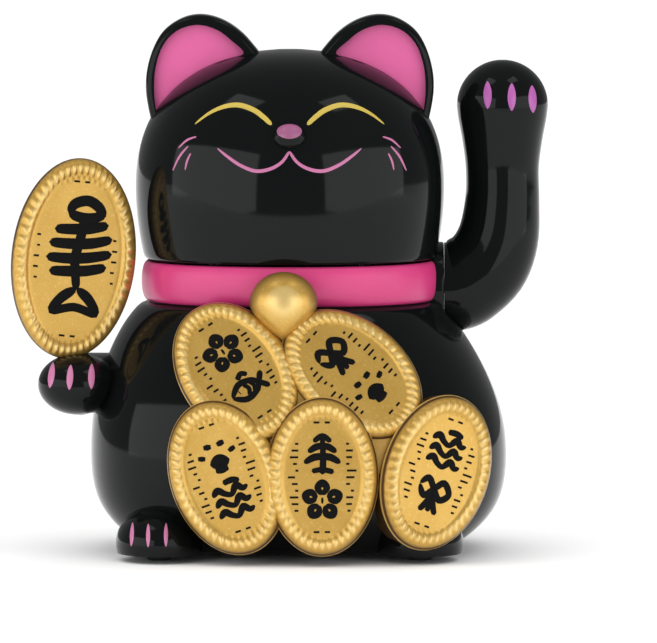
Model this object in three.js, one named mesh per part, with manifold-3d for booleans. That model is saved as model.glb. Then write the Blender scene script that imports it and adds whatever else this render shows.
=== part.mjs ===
// A beckoning cat figurine with a solar-driven waving arm, in millimetres.
// Z is up, the floor is Z = 0, the cat faces -Y and its waving arm is on the +X side.
import * as THREE from "three";
import { mergeVertices } from "three/addons/utils/BufferGeometryUtils.js";
import Module from "manifold-3d";

const wasm = await Module();
wasm.setup();

// ---------------------------------------------------------------- driving dimensions

// Walls and clearances
const WALL = 1.6; // moulded shells
const ARM_WALL = 1.3;
const FIT = 0.25; // between fixed pieces that seat in each other
const SEAM_GAP = 0.1; // between two halves of a shell
const RUN_GAP = 0.4; // between the arm's hub and the shoulder it turns against
const HEAD_GAP = 0.3; // between the swinging arm and the head
const BEARING_PLAY = 0.1; // round the shaft in its bearings

// Torso
const FLOOR_GAP = 1.2; // the shells stand this far above the floor, on the foot pads
const BASE_HALF_WIDTH = 25;
const BASE_HALF_DEPTH = 20.6;
const BELLY_HALF_WIDTH = 33.3;
const BELLY_HALF_DEPTH = 27.5;
const BELLY_Z = 16.3;
const BELLY_SIDE_SHIFT = 1.4; // the belly sits a little to the arm's side of the neck
const SHOULDER_Z = 39.8;

// Neck, collar and head
const NECK_HALF_WIDTH = 22;
const COLLAR_HEIGHT = 6.4;
const COLLAR_THICKNESS = 1.5;
const COLLAR_OVER_SHOULDER = 0.35; // how far the collar stands out past the torso
const COLLAR_OVER_CHIN = 0.45; // and past the head
const SPIGOT_HEIGHT = 3.2; // the neck reaches this far into the head
const HEAD_BULGE = 1.4; // how far the head's widest level stands out past its chin
const HEAD_HALF_DEPTH = 21.2;
const HEAD_WIDEST_RISE = 11.3; // from the chin's edge to the widest level
const HEAD_CROWN_RISE = 22; // from the widest level to the crown
const EAR_THICKNESS = 6.5;
const EAR_RIM = 2;
const EAR_RECESS = 1.3;

// Seam between front and rear shells; the arm's shaft lies in this plane
const SEAM_Y = 3;

// Waving arm and its shaft
const SHAFT_Z = 41.9;
const SHAFT_RADIUS = 1;
const HUB_RADIUS = 7.2;
const ARM_REACH = 9; // from the shoulder face out to the forearm's centre line
const ARM_RISE = 29.1; // from the shaft up to the paw's centre
const FOREARM_RADIUS = 5.8;
const PAW_RADIUS = 7.3;

// Coins
const COIN_HALF_LENGTH = 12.3;
const COIN_HALF_WIDTH = 8.7;
const COIN_PROUD = 2.2; // coin faces stand this far off the belly
const HELD_COIN_HALF_LENGTH = 16;
const HELD_COIN_HALF_WIDTH = 10;
const HELD_COIN_THICKNESS = 3;
const BELL_RADIUS = 5.1;

// Base
const COVER_THICKNESS = 2.4;
const PAD_RADIUS = 2;
const SCREW_RADIUS = 1;
const SCREW_HEAD_RADIUS = 1.9;
const SCREW_HEAD_HEIGHT = 1.2;

// Swing mechanism
const UPRIGHT_SPACING = 24; // between the middles of the two uprights
const UPRIGHT_THICKNESS = 2;
const UPRIGHT_WIDTH = 11;
const STOP_DROP = 5; // the stop bars lie this far below the shaft
const STOP_RADIUS = 0.8;
const SWING_DEG = 25; // each way, until the lever meets a stop bar
const FRAME_PLATE_THICKNESS = 1.5;
const BOARD_THICKNESS = 1.2;
const COIL_HEIGHT = 4;
const COIL_RADIUS = 5.6;
const MAGNET_RADIUS = 4;
const MAGNET_HEIGHT = 2.6;
const MAGNET_GAP = 1.2; // between the magnet and the top of the coil
const WINDOW_WIDTH = 22;
const WINDOW_HEIGHT = 15;
const WINDOW_THICKNESS = 1;
const CELL_THICKNESS = 1.1;
const LEAD_RADIUS = 0.45;

// Facets
const ROUND = 40; // sides of the torso and the head
const LIMB_ROUND = 18;
const COIN_ROUND = 28;
const SMALL_ROUND = 12;

// ---------------------------------------------------------------- levels that follow from them

const COLLAR_Z = SHOULDER_Z + FIT;
const NECK_TOP_Z = COLLAR_Z + COLLAR_HEIGHT + FIT; // the head rests here
const CHIN_Z = NECK_TOP_Z + SEAM_GAP;
const HEAD_WIDEST_Z = CHIN_Z + HEAD_WIDEST_RISE;
const CROWN_Z = HEAD_WIDEST_Z + HEAD_CROWN_RISE;
const COLLAR_HALF_WIDTH = NECK_HALF_WIDTH + FIT + COLLAR_THICKNESS;
const SHOULDER_HALF_WIDTH = COLLAR_HALF_WIDTH - COLLAR_OVER_SHOULDER;
const CHIN_HALF_WIDTH = COLLAR_HALF_WIDTH - COLLAR_OVER_CHIN;
const HEAD_HALF_WIDTH = CHIN_HALF_WIDTH + HEAD_BULGE;
const SPIGOT_HALF_WIDTH = CHIN_HALF_WIDTH - WALL - FIT;
const CHIN_FLAT = (HEAD_HALF_DEPTH - WALL) / (HEAD_HALF_WIDTH - WALL);
const SPIGOT_HALF_DEPTH = (CHIN_HALF_WIDTH - WALL) * CHIN_FLAT - FIT;
const NECK_FLAT = SPIGOT_HALF_DEPTH / SPIGOT_HALF_WIDTH; // depth against width
const HUB_FACE_X = Math.max(HEAD_HALF_WIDTH, COLLAR_HALF_WIDTH) + HEAD_GAP;
const SHOULDER_FACE_X = HUB_FACE_X - RUN_GAP;
const COVER_Z = FLOOR_GAP + FIT;
const COVER_TOP_Z = COVER_Z + COVER_THICKNESS;
const FRAME_Z = COVER_TOP_Z + SEAM_GAP;
const BOARD_Z = FRAME_Z + FRAME_PLATE_THICKNESS + SEAM_GAP;
const COIL_Z = BOARD_Z + BOARD_THICKNESS + SEAM_GAP;

const MATERIALS = {
  black: { color: 0x0b0d0e, roughness: 0.12, metalness: 0 },
  pink: { color: 0xd8407e, roughness: 0.2, metalness: 0 },
  gold: { color: 0xd2a545, roughness: 0.35, metalness: 0.8 },
  natural: { color: 0xe6e2d6, roughness: 0.5, metalness: 0 },
  steel: { color: 0xa9adb0, roughness: 0.3, metalness: 1 },
  magnet: { color: 0x6f7276, roughness: 0.35, metalness: 1 },
  copper: { color: 0xb4662d, roughness: 0.35, metalness: 1 },
  board: { color: 0x8a5a24, roughness: 0.5, metalness: 0 },
  resin: { color: 0x101010, roughness: 0.4, metalness: 0 },
  rubber: { color: 0x1b1b1b, roughness: 0.9, metalness: 0 },
  cell: { color: 0x1d1420, roughness: 0.15, metalness: 0 },
  clear: { color: 0xdfe6ea, roughness: 0.05, metalness: 0 },
  leadRed: { color: 0xb01c1c, roughness: 0.5, metalness: 0 },
  leadBlack: { color: 0x141414, roughness: 0.5, metalness: 0 },
};

// ---------------------------------------------------------------- tools

function solidOf(geometry) {
  const bare = geometry.clone();
  bare.deleteAttribute("normal");
  bare.deleteAttribute("uv");
  const merged = mergeVertices(bare, 1e-4);
  return new wasm.Manifold(
    new wasm.Mesh({
      numProp: 3,
      vertProperties: merged.attributes.position.array,
      triVerts: new Uint32Array(merged.index.array),
    }),
  );
}

function geometryOf(solid) {
  const mesh = solid.getMesh();
  const geometry = new THREE.BufferGeometry();
  geometry.setAttribute("position", new THREE.BufferAttribute(mesh.vertProperties, 3));
  geometry.setIndex(new THREE.BufferAttribute(mesh.triVerts, 1));
  geometry.computeVertexNormals();
  return geometry;
}

const joined = (...solids) => solids.reduce((all, solid) => all.add(solid));
const without = (solid, ...cutters) => cutters.reduce((left, cutter) => left.subtract(cutter), solid);
const vec = (x, y, z) => new THREE.Vector3(x, y, z);

// A box between two corners.
function block(low, high) {
  const size = high.map((value, i) => value - low[i]);
  const middle = high.map((value, i) => (value + low[i]) / 2);
  return solidOf(new THREE.BoxGeometry(...size).translate(...middle));
}

// Turns a profile of [radius, height] pairs about Z. It starts and ends on the axis, going up.
function turnedGeometry(profile, sides = SMALL_ROUND) {
  const points = profile.map(([radius, height]) => new THREE.Vector2(radius, height));
  return new THREE.LatheGeometry(points, sides).rotateX(Math.PI / 2);
}

const rod = (radius, low, high) => [[0, low], [radius, low], [radius, high], [0, high]];

// A cylinder from one point to another.
function bar(radius, from, to, sides = SMALL_ROUND) {
  const along = to.clone().sub(from);
  const turn = new THREE.Quaternion().setFromUnitVectors(vec(0, 0, 1), along.clone().normalize());
  const geometry = turnedGeometry(rod(radius, 0, along.length()), sides);
  return solidOf(geometry.applyQuaternion(turn).translate(from.x, from.y, from.z));
}

function ellipsoid(centre, halves, sides = LIMB_ROUND) {
  const geometry = new THREE.SphereGeometry(1, sides, Math.round(sides / 2));
  return solidOf(geometry.scale(...halves).translate(...centre));
}

// Moves each vertex of a geometry by a function of its place.
function bent(geometry, move) {
  const place = geometry.attributes.position;
  const point = new THREE.Vector3();
  for (let i = 0; i < place.count; i += 1) {
    point.fromBufferAttribute(place, i);
    place.setXYZ(i, ...move(point).toArray());
  }
  return geometry;
}

// How far a superellipse of unit half-axes reaches at an angle, against a circle.
function squareness(angle, power) {
  const across = Math.abs(Math.cos(angle)) ** power;
  const along = Math.abs(Math.sin(angle)) ** power;
  return (across + along) ** (-1 / power);
}

const spread = (count, from, to) =>
  Array.from({ length: count }, (_, i) => from + ((to - from) * i) / (count - 1));

const material = (name) => new THREE.MeshStandardMaterial(MATERIALS[name]);

function piece(name, solid, look) {
  const mesh = new THREE.Mesh(geometryOf(solid), material(look));
  mesh.name = name;
  return mesh;
}

const FAR = 200;
const frontOf = (y) => block([-FAR, -FAR, -FAR], [FAR, y, FAR]);
const above = (z) => block([-FAR, -FAR, z], [FAR, FAR, FAR]);

// The front and rear halves of a shell, parted at the seam.
function halves(shell) {
  return [
    shell.intersect(frontOf(SEAM_Y - SEAM_GAP / 2)),
    shell.subtract(frontOf(SEAM_Y + SEAM_GAP / 2)),
  ];
}

// ---------------------------------------------------------------- torso and neck

// A torso size at a height: full at the belly, in to the base and the shoulder.
function torsoSize(z, base, belly, shoulder) {
  if (z < BELLY_Z) {
    const down = Math.min(1, (BELLY_Z - z) / (BELLY_Z - FLOOR_GAP));
    return belly - (belly - base) * down ** 3.1;
  }
  const up = Math.min(1, (z - BELLY_Z) / (SHOULDER_Z - BELLY_Z));
  return shoulder + (belly - shoulder) * Math.cos((Math.PI / 2) * up) ** 0.75;
}

const torsoHalfWidth = (z) => torsoSize(z, BASE_HALF_WIDTH, BELLY_HALF_WIDTH, SHOULDER_HALF_WIDTH);
const torsoHalfDepth = (z) =>
  torsoSize(z, BASE_HALF_DEPTH, BELLY_HALF_DEPTH, SHOULDER_HALF_WIDTH * NECK_FLAT);

// 1 low on the torso and 0 at the shoulder, changing smoothly.
const bellyShare = (z) => 1 - THREE.MathUtils.smoothstep(z, BELLY_Z, SHOULDER_Z);

// Gives a turned torso its depth, its squarer belly and its side shift.
function shapedTorso(geometry, inset) {
  return bent(geometry, (p) => {
    const share = bellyShare(p.z);
    const angle = Math.atan2(p.y, p.x);
    const power = 2.15 + 0.65 * share;
    const neck = (NECK_HALF_WIDTH * NECK_FLAT - inset) / (NECK_HALF_WIDTH - inset);
    const torso = (torsoHalfDepth(p.z) - inset) / (torsoHalfWidth(p.z) - inset);
    const flat = p.z > SHOULDER_Z - Math.abs(inset) ? neck : torso;
    const out = squareness(angle, power);
    return vec(p.x * out + BELLY_SIDE_SHIFT * share, p.y * out * flat, p.z);
  });
}

const TORSO_LEVELS = [
  ...spread(6, FLOOR_GAP, BELLY_Z * 0.5),
  ...spread(9, BELLY_Z * 0.75, SHOULDER_Z),
];

// The torso with its neck and spigot, moved in by an inset, or out by a negative one.
function torsoSolid(inset = 0) {
  const top = SHOULDER_Z - inset;
  const sides = TORSO_LEVELS.map((z) => [torsoHalfWidth(z) - inset, Math.min(z, top)]);
  const low = inset > 0 ? -1 : FLOOR_GAP + inset;
  const high = NECK_TOP_Z + SPIGOT_HEIGHT + inset;
  const neck = NECK_HALF_WIDTH - inset;
  const spigot = SPIGOT_HALF_WIDTH - inset;
  const profile = [
    [0, low],
    [torsoHalfWidth(FLOOR_GAP) - inset, low],
    ...sides.slice(inset > 0 ? 0 : 1),
    [neck, top + 0.01],
    [neck, NECK_TOP_Z - inset],
    [spigot, NECK_TOP_Z - inset + 0.01],
    [spigot, high],
    [0, high],
  ];
  return solidOf(shapedTorso(turnedGeometry(profile, ROUND), inset));
}

// How far in front of the seat's middle the torso's surface lies at a side place and height.
function bellyFrontY(x, z) {
  const share = bellyShare(z);
  const power = 2.15 + 0.65 * share;
  const width = torsoHalfWidth(z);
  const side = Math.min(0.98, Math.abs(x - BELLY_SIDE_SHIFT * share) / width);
  return -torsoHalfDepth(z) * (1 - side ** power) ** (1 / power);
}

const shoulderAt = (x) => vec(x, SEAM_Y, SHAFT_Z);
const shoulderRound = (radius, from, to) => bar(radius, shoulderAt(from), shoulderAt(to), LIMB_ROUND);

// Feet under the belly's front corners
const FOOT_X = 20.6;
const FOOT_Y = 1 - BELLY_HALF_DEPTH * 0.7;
const FOOT_HALVES = [6.9, 9, 6];
const FOOT_SIDES = { left: -1, right: 1 };

function feetSolid(grown = 0) {
  const feet = Object.values(FOOT_SIDES).map((side) =>
    ellipsoid([side * FOOT_X, FOOT_Y, FLOOR_GAP + 1.6], FOOT_HALVES.map((half) => half + grown)),
  );
  return joined(...feet).intersect(above(FLOOR_GAP - grown));
}

// A tail that lies along the back of the base
function tailSolid() {
  const back = BELLY_HALF_DEPTH;
  const path = new THREE.CatmullRomCurve3([
    vec(-11, back - 6, 5.5),
    vec(-2, back - 1, 5.5),
    vec(8, back - 0.8, 6),
    vec(15.5, back - 3.2, 8.5),
    vec(18.5, back - 5, 13),
  ]);
  const section = new THREE.Shape().absarc(0, 0, 3, 0, Math.PI * 2);
  const tube = new THREE.ExtrudeGeometry(section, {
    steps: 12,
    extrudePath: path,
    curveSegments: 5,
  });
  return joined(solidOf(tube), ellipsoid(path.getPoint(1).toArray(), [3, 3, 3], 12));
}

// Screw bosses of the shells, each held to the wall by a rib
const BOSS_RADIUS = 2.5;
const BOSS_X = 15;
const BOSS_Y = { front: -11.5, rear: 13.5 };
const BOSS_TOP_Z = COVER_TOP_Z + 9;
const SCREW_LENGTH = 7;
const screwPlaces = Object.values(FOOT_SIDES).flatMap((side) =>
  Object.entries(BOSS_Y).map(([end, y]) => ({
    name: `${end}_${side < 0 ? "left" : "right"}`,
    x: side * BOSS_X,
    y,
  })),
);

function shellBosses() {
  return joined(
    ...screwPlaces.map(({ x, y }) => {
      const post = bar(BOSS_RADIUS, vec(x, y, COVER_TOP_Z + SEAM_GAP), vec(x, y, BOSS_TOP_Z));
      const out = Math.sign(x) * FAR;
      const rib = block(
        [Math.min(x, out), y - 0.8, COVER_TOP_Z + 1],
        [Math.max(x, out), y + 0.8, BOSS_TOP_Z - 1],
      );
      return joined(post, rib);
    }),
  );
}

const screwHoles = (radius, low, high) =>
  joined(...screwPlaces.map(({ x, y }) => bar(radius, vec(x, y, low), vec(x, y, high))));

// Solar cell and its window, in a flat seat at the back
const WINDOW_Z = BELLY_Z + 1;
const WINDOW_Y = BELLY_HALF_DEPTH - 3.4; // the window's inner face
const SEAT_MARGIN = 1.8;
const SEAT_THICKNESS = 1.6;

// A flat upright slab centred behind the belly, from one depth to another.
function backSlab(width, height, fromY, toY) {
  return block(
    [-width / 2, fromY, WINDOW_Z - height / 2],
    [width / 2, toY, WINDOW_Z + height / 2],
  );
}

const CELL_WIDTH = WINDOW_WIDTH - 3;
const CELL_HEIGHT = WINDOW_HEIGHT - 3;

function windowSeat() {
  const width = WINDOW_WIDTH + 2 * SEAT_MARGIN;
  const height = WINDOW_HEIGHT + 2 * SEAT_MARGIN;
  return backSlab(width, height, WINDOW_Y - SEAT_THICKNESS, FAR);
}

function windowPocket() {
  const pocket = backSlab(WINDOW_WIDTH + 2 * FIT, WINDOW_HEIGHT + 2 * FIT, WINDOW_Y, FAR);
  return joined(pocket, backSlab(CELL_WIDTH + 2 * FIT, CELL_HEIGHT + 2 * FIT, WINDOW_Y - 9, FAR));
}

// Pegs that hold the coin plaque and the coin arm to the front shell
const PEG_RADIUS = 1.4;
const PEG_LENGTH = 3;
const plaquePegs = [vec(-9, 0, 27), vec(9, 0, 12)];
const ARM_PEG_Y = -3;
const COIN_ARM_Z = 27.2;
const torsoSideX = (z) => BELLY_SIDE_SHIFT * bellyShare(z) - torsoHalfWidth(z);

function plaquePegSolids(radius) {
  return joined(
    ...plaquePegs.map((at) => {
      const skin = bellyFrontY(at.x, at.z);
      return bar(radius, vec(at.x, skin - 1, at.z), vec(at.x, skin + PEG_LENGTH, at.z));
    }),
  );
}

function coinArmPeg(radius) {
  const side = torsoSideX(COIN_ARM_Z);
  return bar(radius, vec(side - 2.5, ARM_PEG_Y, COIN_ARM_Z), vec(side + PEG_LENGTH, ARM_PEG_Y, COIN_ARM_Z));
}

function torsoShells() {
  const outer = torsoSolid();
  const boss = shoulderRound(HUB_RADIUS, NECK_HALF_WIDTH - 4, SHOULDER_FACE_X);
  const skin = joined(outer, boss, feetSolid(), tailSolid().intersect(above(FLOOR_GAP)));
  const hollow = torsoSolid(WALL);
  const inside = joined(shellBosses(), windowSeat()).intersect(outer);
  const shell = without(
    joined(without(skin, hollow), inside),
    windowPocket(),
    screwHoles(SCREW_RADIUS + FIT, COVER_TOP_Z - 1, COVER_TOP_Z + SCREW_LENGTH),
    shoulderRound(HUB_RADIUS + RUN_GAP, SHOULDER_FACE_X, FAR),
    shoulderRound(SHAFT_RADIUS + FIT, 0, FAR),
    plaquePegSolids(PEG_RADIUS + FIT),
    coinArmPeg(PEG_RADIUS + FIT),
  );
  const [front, rear] = halves(shell);
  return [piece("body_front_shell", front, "black"), piece("body_rear_shell", rear, "black")];
}

// ---------------------------------------------------------------- head

const headHalfWidth = (z) => {
  if (z < HEAD_WIDEST_Z) {
    const down = (HEAD_WIDEST_Z - z) / HEAD_WIDEST_RISE;
    return HEAD_HALF_WIDTH - (HEAD_HALF_WIDTH - CHIN_HALF_WIDTH) * down ** 2;
  }
  const up = Math.min(1, (z - HEAD_WIDEST_Z) / HEAD_CROWN_RISE);
  return HEAD_HALF_WIDTH * (1 - up ** 2.3) ** (1 / 2.3);
};

function shapedHead(geometry, inset) {
  const flat = (HEAD_HALF_DEPTH - inset) / (HEAD_HALF_WIDTH - inset);
  return bent(geometry, (p) => {
    const out = squareness(Math.atan2(p.y, p.x), 2.15);
    return vec(p.x * out, p.y * out * flat, p.z);
  });
}

// The head's rounded block, moved in by an inset.
function headSolid(inset = 0) {
  const low = inset > 0 ? CHIN_Z - 1 : CHIN_Z;
  const share = 1 - inset / HEAD_HALF_WIDTH;
  const levels = [
    ...spread(4, CHIN_Z, HEAD_WIDEST_Z),
    ...spread(9, 0.18, Math.PI / 2 - 0.12).map((turn) => HEAD_WIDEST_Z + HEAD_CROWN_RISE * Math.sin(turn)),
  ];
  const sides = levels.map((z) => [headHalfWidth(z) - inset, z < HEAD_WIDEST_Z ? z : lowered(z, share)]);
  const profile = [
    [0, low],
    [CHIN_HALF_WIDTH - inset, low],
    ...sides.slice(inset > 0 ? 0 : 1).filter(([radius]) => radius > 1),
    [0, CROWN_Z - inset],
  ];
  return solidOf(shapedHead(turnedGeometry(profile, ROUND), inset));
}

// A level above the head's widest one, drawn in towards it by a share.
const lowered = (z, share) => HEAD_WIDEST_Z + (z - HEAD_WIDEST_Z) * share;

// The +X ear's outline, as steps out from the head's middle and up from its widest level
const EAR_OUTLINE = [
  [21.5, 8], [22.9, 15], [22.5, 20], [20.6, 24.4], [17.6, 26.8], [14.3, 27.6], [10.8, 26.8], [7.5, 24.6], [4.4, 21],
];

// The flat shape of an ear, kept in from the outline by a rim.
function earShape(rim) {
  const middle = [13.5, 15];
  const points = EAR_OUTLINE.map(([out, up]) => {
    const reach = Math.hypot(out - middle[0], up - middle[1]);
    const share = (reach - rim) / reach;
    return new THREE.Vector2(middle[0] + (out - middle[0]) * share, middle[1] + (up - middle[1]) * share);
  });
  const shape = new THREE.Shape();
  shape.moveTo(points[0].x, points[0].y);
  shape.splineThru(points.slice(1));
  shape.lineTo(9 + rim, 10 + rim);
  return shape;
}

const EAR_FRONT_Y = -EAR_THICKNESS / 2 - 0.75;

function earPlate(side, shape, depth, frontY, bevel) {
  const geometry = new THREE.ExtrudeGeometry(shape, {
    depth: depth - 2 * bevel,
    bevelEnabled: bevel > 0,
    bevelThickness: bevel,
    bevelSize: bevel,
    bevelOffset: -bevel,
    bevelSegments: 2,
    curveSegments: 3,
  });
  geometry.rotateX(Math.PI / 2).translate(0, frontY + depth - bevel, HEAD_WIDEST_Z);
  const solid = solidOf(geometry);
  return side > 0 ? solid : solid.mirror([1, 0, 0]);
}

const NOSE_Z = HEAD_WIDEST_Z + 9.9;
const NOSE_HALVES = [2.3, 1.8, 1.7];

function headShells() {
  const ears = [-1, 1].map((side) => earPlate(side, earShape(0), EAR_THICKNESS, EAR_FRONT_Y, 1.2));
  const recesses = [-1, 1].map((side) =>
    earPlate(side, earShape(EAR_RIM), EAR_RECESS + 5, EAR_FRONT_Y - 5, 0).subtract(headSolid()),
  );
  const noseY = -headHalfWidth(NOSE_Z) * (HEAD_HALF_DEPTH / HEAD_HALF_WIDTH);
  const nose = ellipsoid([0, noseY, NOSE_Z], NOSE_HALVES, 12);
  const shell = without(
    joined(headSolid(), ...ears, nose),
    headSolid(WALL),
    ...recesses,
    shoulderRound(HUB_RADIUS + FIT, 0, FAR),
  );
  const [front, rear] = halves(shell);
  return [piece("head_front_shell", front, "black"), piece("head_rear_shell", rear, "black")];
}

// ---------------------------------------------------------------- collar

// The collar's ring, grown by a clearance.
function collarRing(grown = 0) {
  const inner = NECK_HALF_WIDTH + FIT - grown;
  const outer = COLLAR_HALF_WIDTH + grown;
  const low = COLLAR_Z - grown;
  const high = COLLAR_Z + COLLAR_HEIGHT + grown;
  const round = 0.9;
  const profile = [
    [inner, low],
    [outer - round, low],
    [outer - round * 0.25, low + round * 0.8],
    [outer, (low + high) / 2],
    [outer - round * 0.25, high - round * 0.8],
    [outer - round, high],
    [inner, high],
    [inner, low],
  ];
  return solidOf(shapedTorso(turnedGeometry(profile, ROUND), 0));
}

function collar() {
  const ring = collarRing().subtract(shoulderRound(HUB_RADIUS + FIT, 0, FAR));
  return piece("collar_band", ring, "pink");
}

// ---------------------------------------------------------------- coins

// An oval coin that faces -Y, with a raised rim. Its rim's front is at Y = 0.
function coinSolid(halfWidth, halfLength, thickness, grown = 0) {
  const profile = [
    [0, -thickness],
    [1, -thickness],
    [1, -1.3],
    [0.96, -0.5],
    [0.89, 0],
    [0.82, -0.45],
    [0, -0.45],
  ].map(([radius, height]) => [radius, height + Math.sign(height + 0.46) * grown]);
  const geometry = turnedGeometry(profile, COIN_ROUND);
  geometry.scale(halfWidth + grown, halfLength + grown, 1);
  return solidOf(geometry.rotateX(Math.PI / 2));
}

// Rolls a coin in its own plane, leans it back, turns it to the side, then puts it in place.
function placed(solid, { roll = 0, lean = 0, turn = 0 }, at) {
  return solid.rotate([0, roll, 0]).rotate([-lean, 0, 0]).rotate([0, 0, turn]).translate(at);
}

// Belly coins: places across and up, turns in degrees, and how far each lies over its neighbours
const BELLY_COINS = {
  upperLeft: { x: -8.5, z: SHOULDER_Z - 9, roll: -35, lean: 20, turn: -6, over: 0 },
  upperRight: { x: 10.1, z: SHOULDER_Z - 9.3, roll: -47, lean: 20, turn: 8, over: 0.1 },
  lowerLeft: { x: -10.1, z: COIN_HALF_LENGTH + 1.7, roll: -20, lean: 2, turn: -7, over: 1 },
  lowerMiddle: { x: 5.2, z: COIN_HALF_LENGTH + 1.9, roll: 0, lean: 2, turn: 2, over: 1.6 },
  lowerRight: { x: 23.7, z: COIN_HALF_LENGTH + 2.3, roll: 20, lean: 2, turn: 20, over: 2.2 },
};
const WEB_THICKNESS = 1.5;
const COIN_SKIRT = 9; // deep enough for every coin to reach the belly behind it
const SIDE_REACH = BELLY_HALF_WIDTH * 0.4; // coins beyond this keep off the belly's round side

// Where a belly coin's rim front lies.
function coinPlace({ x, z, over }) {
  const skin = bellyFrontY(THREE.MathUtils.clamp(x, -SIDE_REACH, SIDE_REACH), z);
  const side = Math.max(0, Math.abs(x) - SIDE_REACH);
  return [x, skin - COIN_PROUD - over + side * 0.3, z];
}

function coinPlaque() {
  const coins = Object.values(BELLY_COINS).map((coin) =>
    placed(coinSolid(COIN_HALF_WIDTH, COIN_HALF_LENGTH, COIN_SKIRT), coin, coinPlace(coin)),
  );
  const { upperLeft, upperRight, lowerRight, lowerMiddle, lowerLeft } = BELLY_COINS;
  const corners = [upperLeft, upperRight, lowerRight, lowerMiddle, lowerLeft];
  const webShape = new THREE.Shape(corners.map(({ x, z }) => new THREE.Vector2(x, z)));
  const column = new THREE.ExtrudeGeometry(webShape, { depth: FAR, bevelEnabled: false });
  const web = solidOf(column.rotateX(Math.PI / 2)).intersect(torsoSolid(-WEB_THICKNESS));
  const bellY = bellyFrontY(0, SHOULDER_Z) - COLLAR_THICKNESS - 1.2;
  const bell = ellipsoid([-0.9, bellY, SHOULDER_Z + 1], [BELL_RADIUS, 4.4, BELL_RADIUS]);
  const keepOff = [torsoSolid(-FIT), feetSolid(FIT), collarRing(FIT)];
  const cluster = without(joined(...coins, web, bell), ...keepOff);
  const ahead = cluster.intersect(frontOf(-BELLY_HALF_DEPTH / 2)).intersect(above(FLOOR_GAP));
  const largest = ahead.decompose().sort((a, b) => b.volume() - a.volume())[0];
  return piece("coin_plaque", joined(largest, plaquePegSolids(PEG_RADIUS)), "gold");
}

// ---------------------------------------------------------------- coin arm and held coin

const HELD_COIN_OUT = 0.2; // the coin's middle lies this far outside the paw's
const HEAD_OVER_COIN = 2.1; // the head's side may reach this far over the coin's inner edge
const coinPawX = Math.min(
  torsoSideX(COIN_ARM_Z) - 3.2,
  HEAD_OVER_COIN + HELD_COIN_OUT - HEAD_HALF_WIDTH - HELD_COIN_HALF_WIDTH,
);
const COIN_PAW = vec(coinPawX, -9.5, COIN_ARM_Z);
const COIN_PAW_HALVES = [6.3, 6.6, 4.9];
const HELD_COIN_TURNS = { roll: 6, lean: 0, turn: 12 };
const HELD_COIN_SEAT = 0.9; // the coin's edge sits this deep in the paw

function heldCoinPlace() {
  const z = COIN_PAW.z + COIN_PAW_HALVES[2] - HELD_COIN_SEAT + HELD_COIN_HALF_LENGTH;
  return [COIN_PAW.x - HELD_COIN_OUT, COIN_PAW.y - HELD_COIN_THICKNESS / 2, z];
}

function heldCoinSolid(grown = 0) {
  const coin = coinSolid(HELD_COIN_HALF_WIDTH, HELD_COIN_HALF_LENGTH, HELD_COIN_THICKNESS, grown);
  return placed(coin, HELD_COIN_TURNS, heldCoinPlace());
}

function coinArm() {
  const elbow = vec(torsoSideX(COIN_ARM_Z) + 1, ARM_PEG_Y, COIN_ARM_Z);
  const forearm = bar(4.6, elbow, COIN_PAW, LIMB_ROUND);
  const paw = ellipsoid(COIN_PAW.toArray(), COIN_PAW_HALVES);
  const limb = joined(forearm, ellipsoid(elbow.toArray(), [4.6, 4.6, 4.6]), paw);
  const shaped = without(limb, torsoSolid(-FIT), heldCoinSolid(FIT));
  const whole = shaped.decompose().sort((a, b) => b.volume() - a.volume())[0];
  return piece("coin_arm", joined(whole, coinArmPeg(PEG_RADIUS)), "black");
}

// ---------------------------------------------------------------- waving arm

// The arm's centre line, in the seam's plane, from the hub to the paw.
const ARM_LINE = new THREE.CatmullRomCurve3([
  vec(HUB_FACE_X - 3, 0, 0),
  vec(HUB_FACE_X, 0, 0),
  vec(HUB_FACE_X + ARM_REACH * 0.37, 0, 0.9),
  vec(HUB_FACE_X + ARM_REACH * 0.72, 0, 3.7),
  vec(HUB_FACE_X + ARM_REACH * 0.93, 0, 8),
  vec(HUB_FACE_X + ARM_REACH, 0, 14),
  vec(HUB_FACE_X + ARM_REACH, 0, ARM_RISE),
]);

// The arm's radius at a share of the centre line's length.
const ARM_RADII = new THREE.SplineCurve([
  new THREE.Vector2(0, HUB_RADIUS),
  new THREE.Vector2(0.22, HUB_RADIUS),
  new THREE.Vector2(0.4, (HUB_RADIUS + FOREARM_RADIUS) / 2 + 0.3),
  new THREE.Vector2(0.6, FOREARM_RADIUS),
  new THREE.Vector2(0.78, FOREARM_RADIUS + 0.5),
  new THREE.Vector2(1, PAW_RADIUS),
]);

// The arm as a turned limb bent along its centre line, moved in by an inset.
function armSolid(inset = 0) {
  const length = ARM_LINE.getLength();
  const stations = spread(14, 0, 1).map((share) => {
    const { x, y } = ARM_RADII.getPoint(share);
    return [y - inset, x * length];
  });
  const dome = spread(4, 0.4, 1.35).map((turn) => [
    (PAW_RADIUS - inset) * Math.cos(turn),
    length + (PAW_RADIUS - inset) * Math.sin(turn),
  ]);
  const profile = [[0, 0], ...stations, ...dome, [0, length + PAW_RADIUS - inset]];
  const limb = bent(turnedGeometry(profile, LIMB_ROUND), (p) => {
    const share = THREE.MathUtils.clamp(p.z / length, 0, 1);
    const centre = ARM_LINE.getPointAt(share);
    const along = ARM_LINE.getTangentAt(share);
    const side = vec(along.z, 0, -along.x);
    const past = Math.max(0, p.z - length);
    return centre.addScaledVector(side, p.x).addScaledVector(along, past).add(vec(0, p.y, 0));
  });
  const whole = solidOf(limb.translate(0, SEAM_Y, SHAFT_Z));
  return whole.intersect(block([HUB_FACE_X + inset, -FAR, -FAR], [FAR, FAR, FAR]));
}

const SHAFT_IN_HUB = 4.5;

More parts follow.
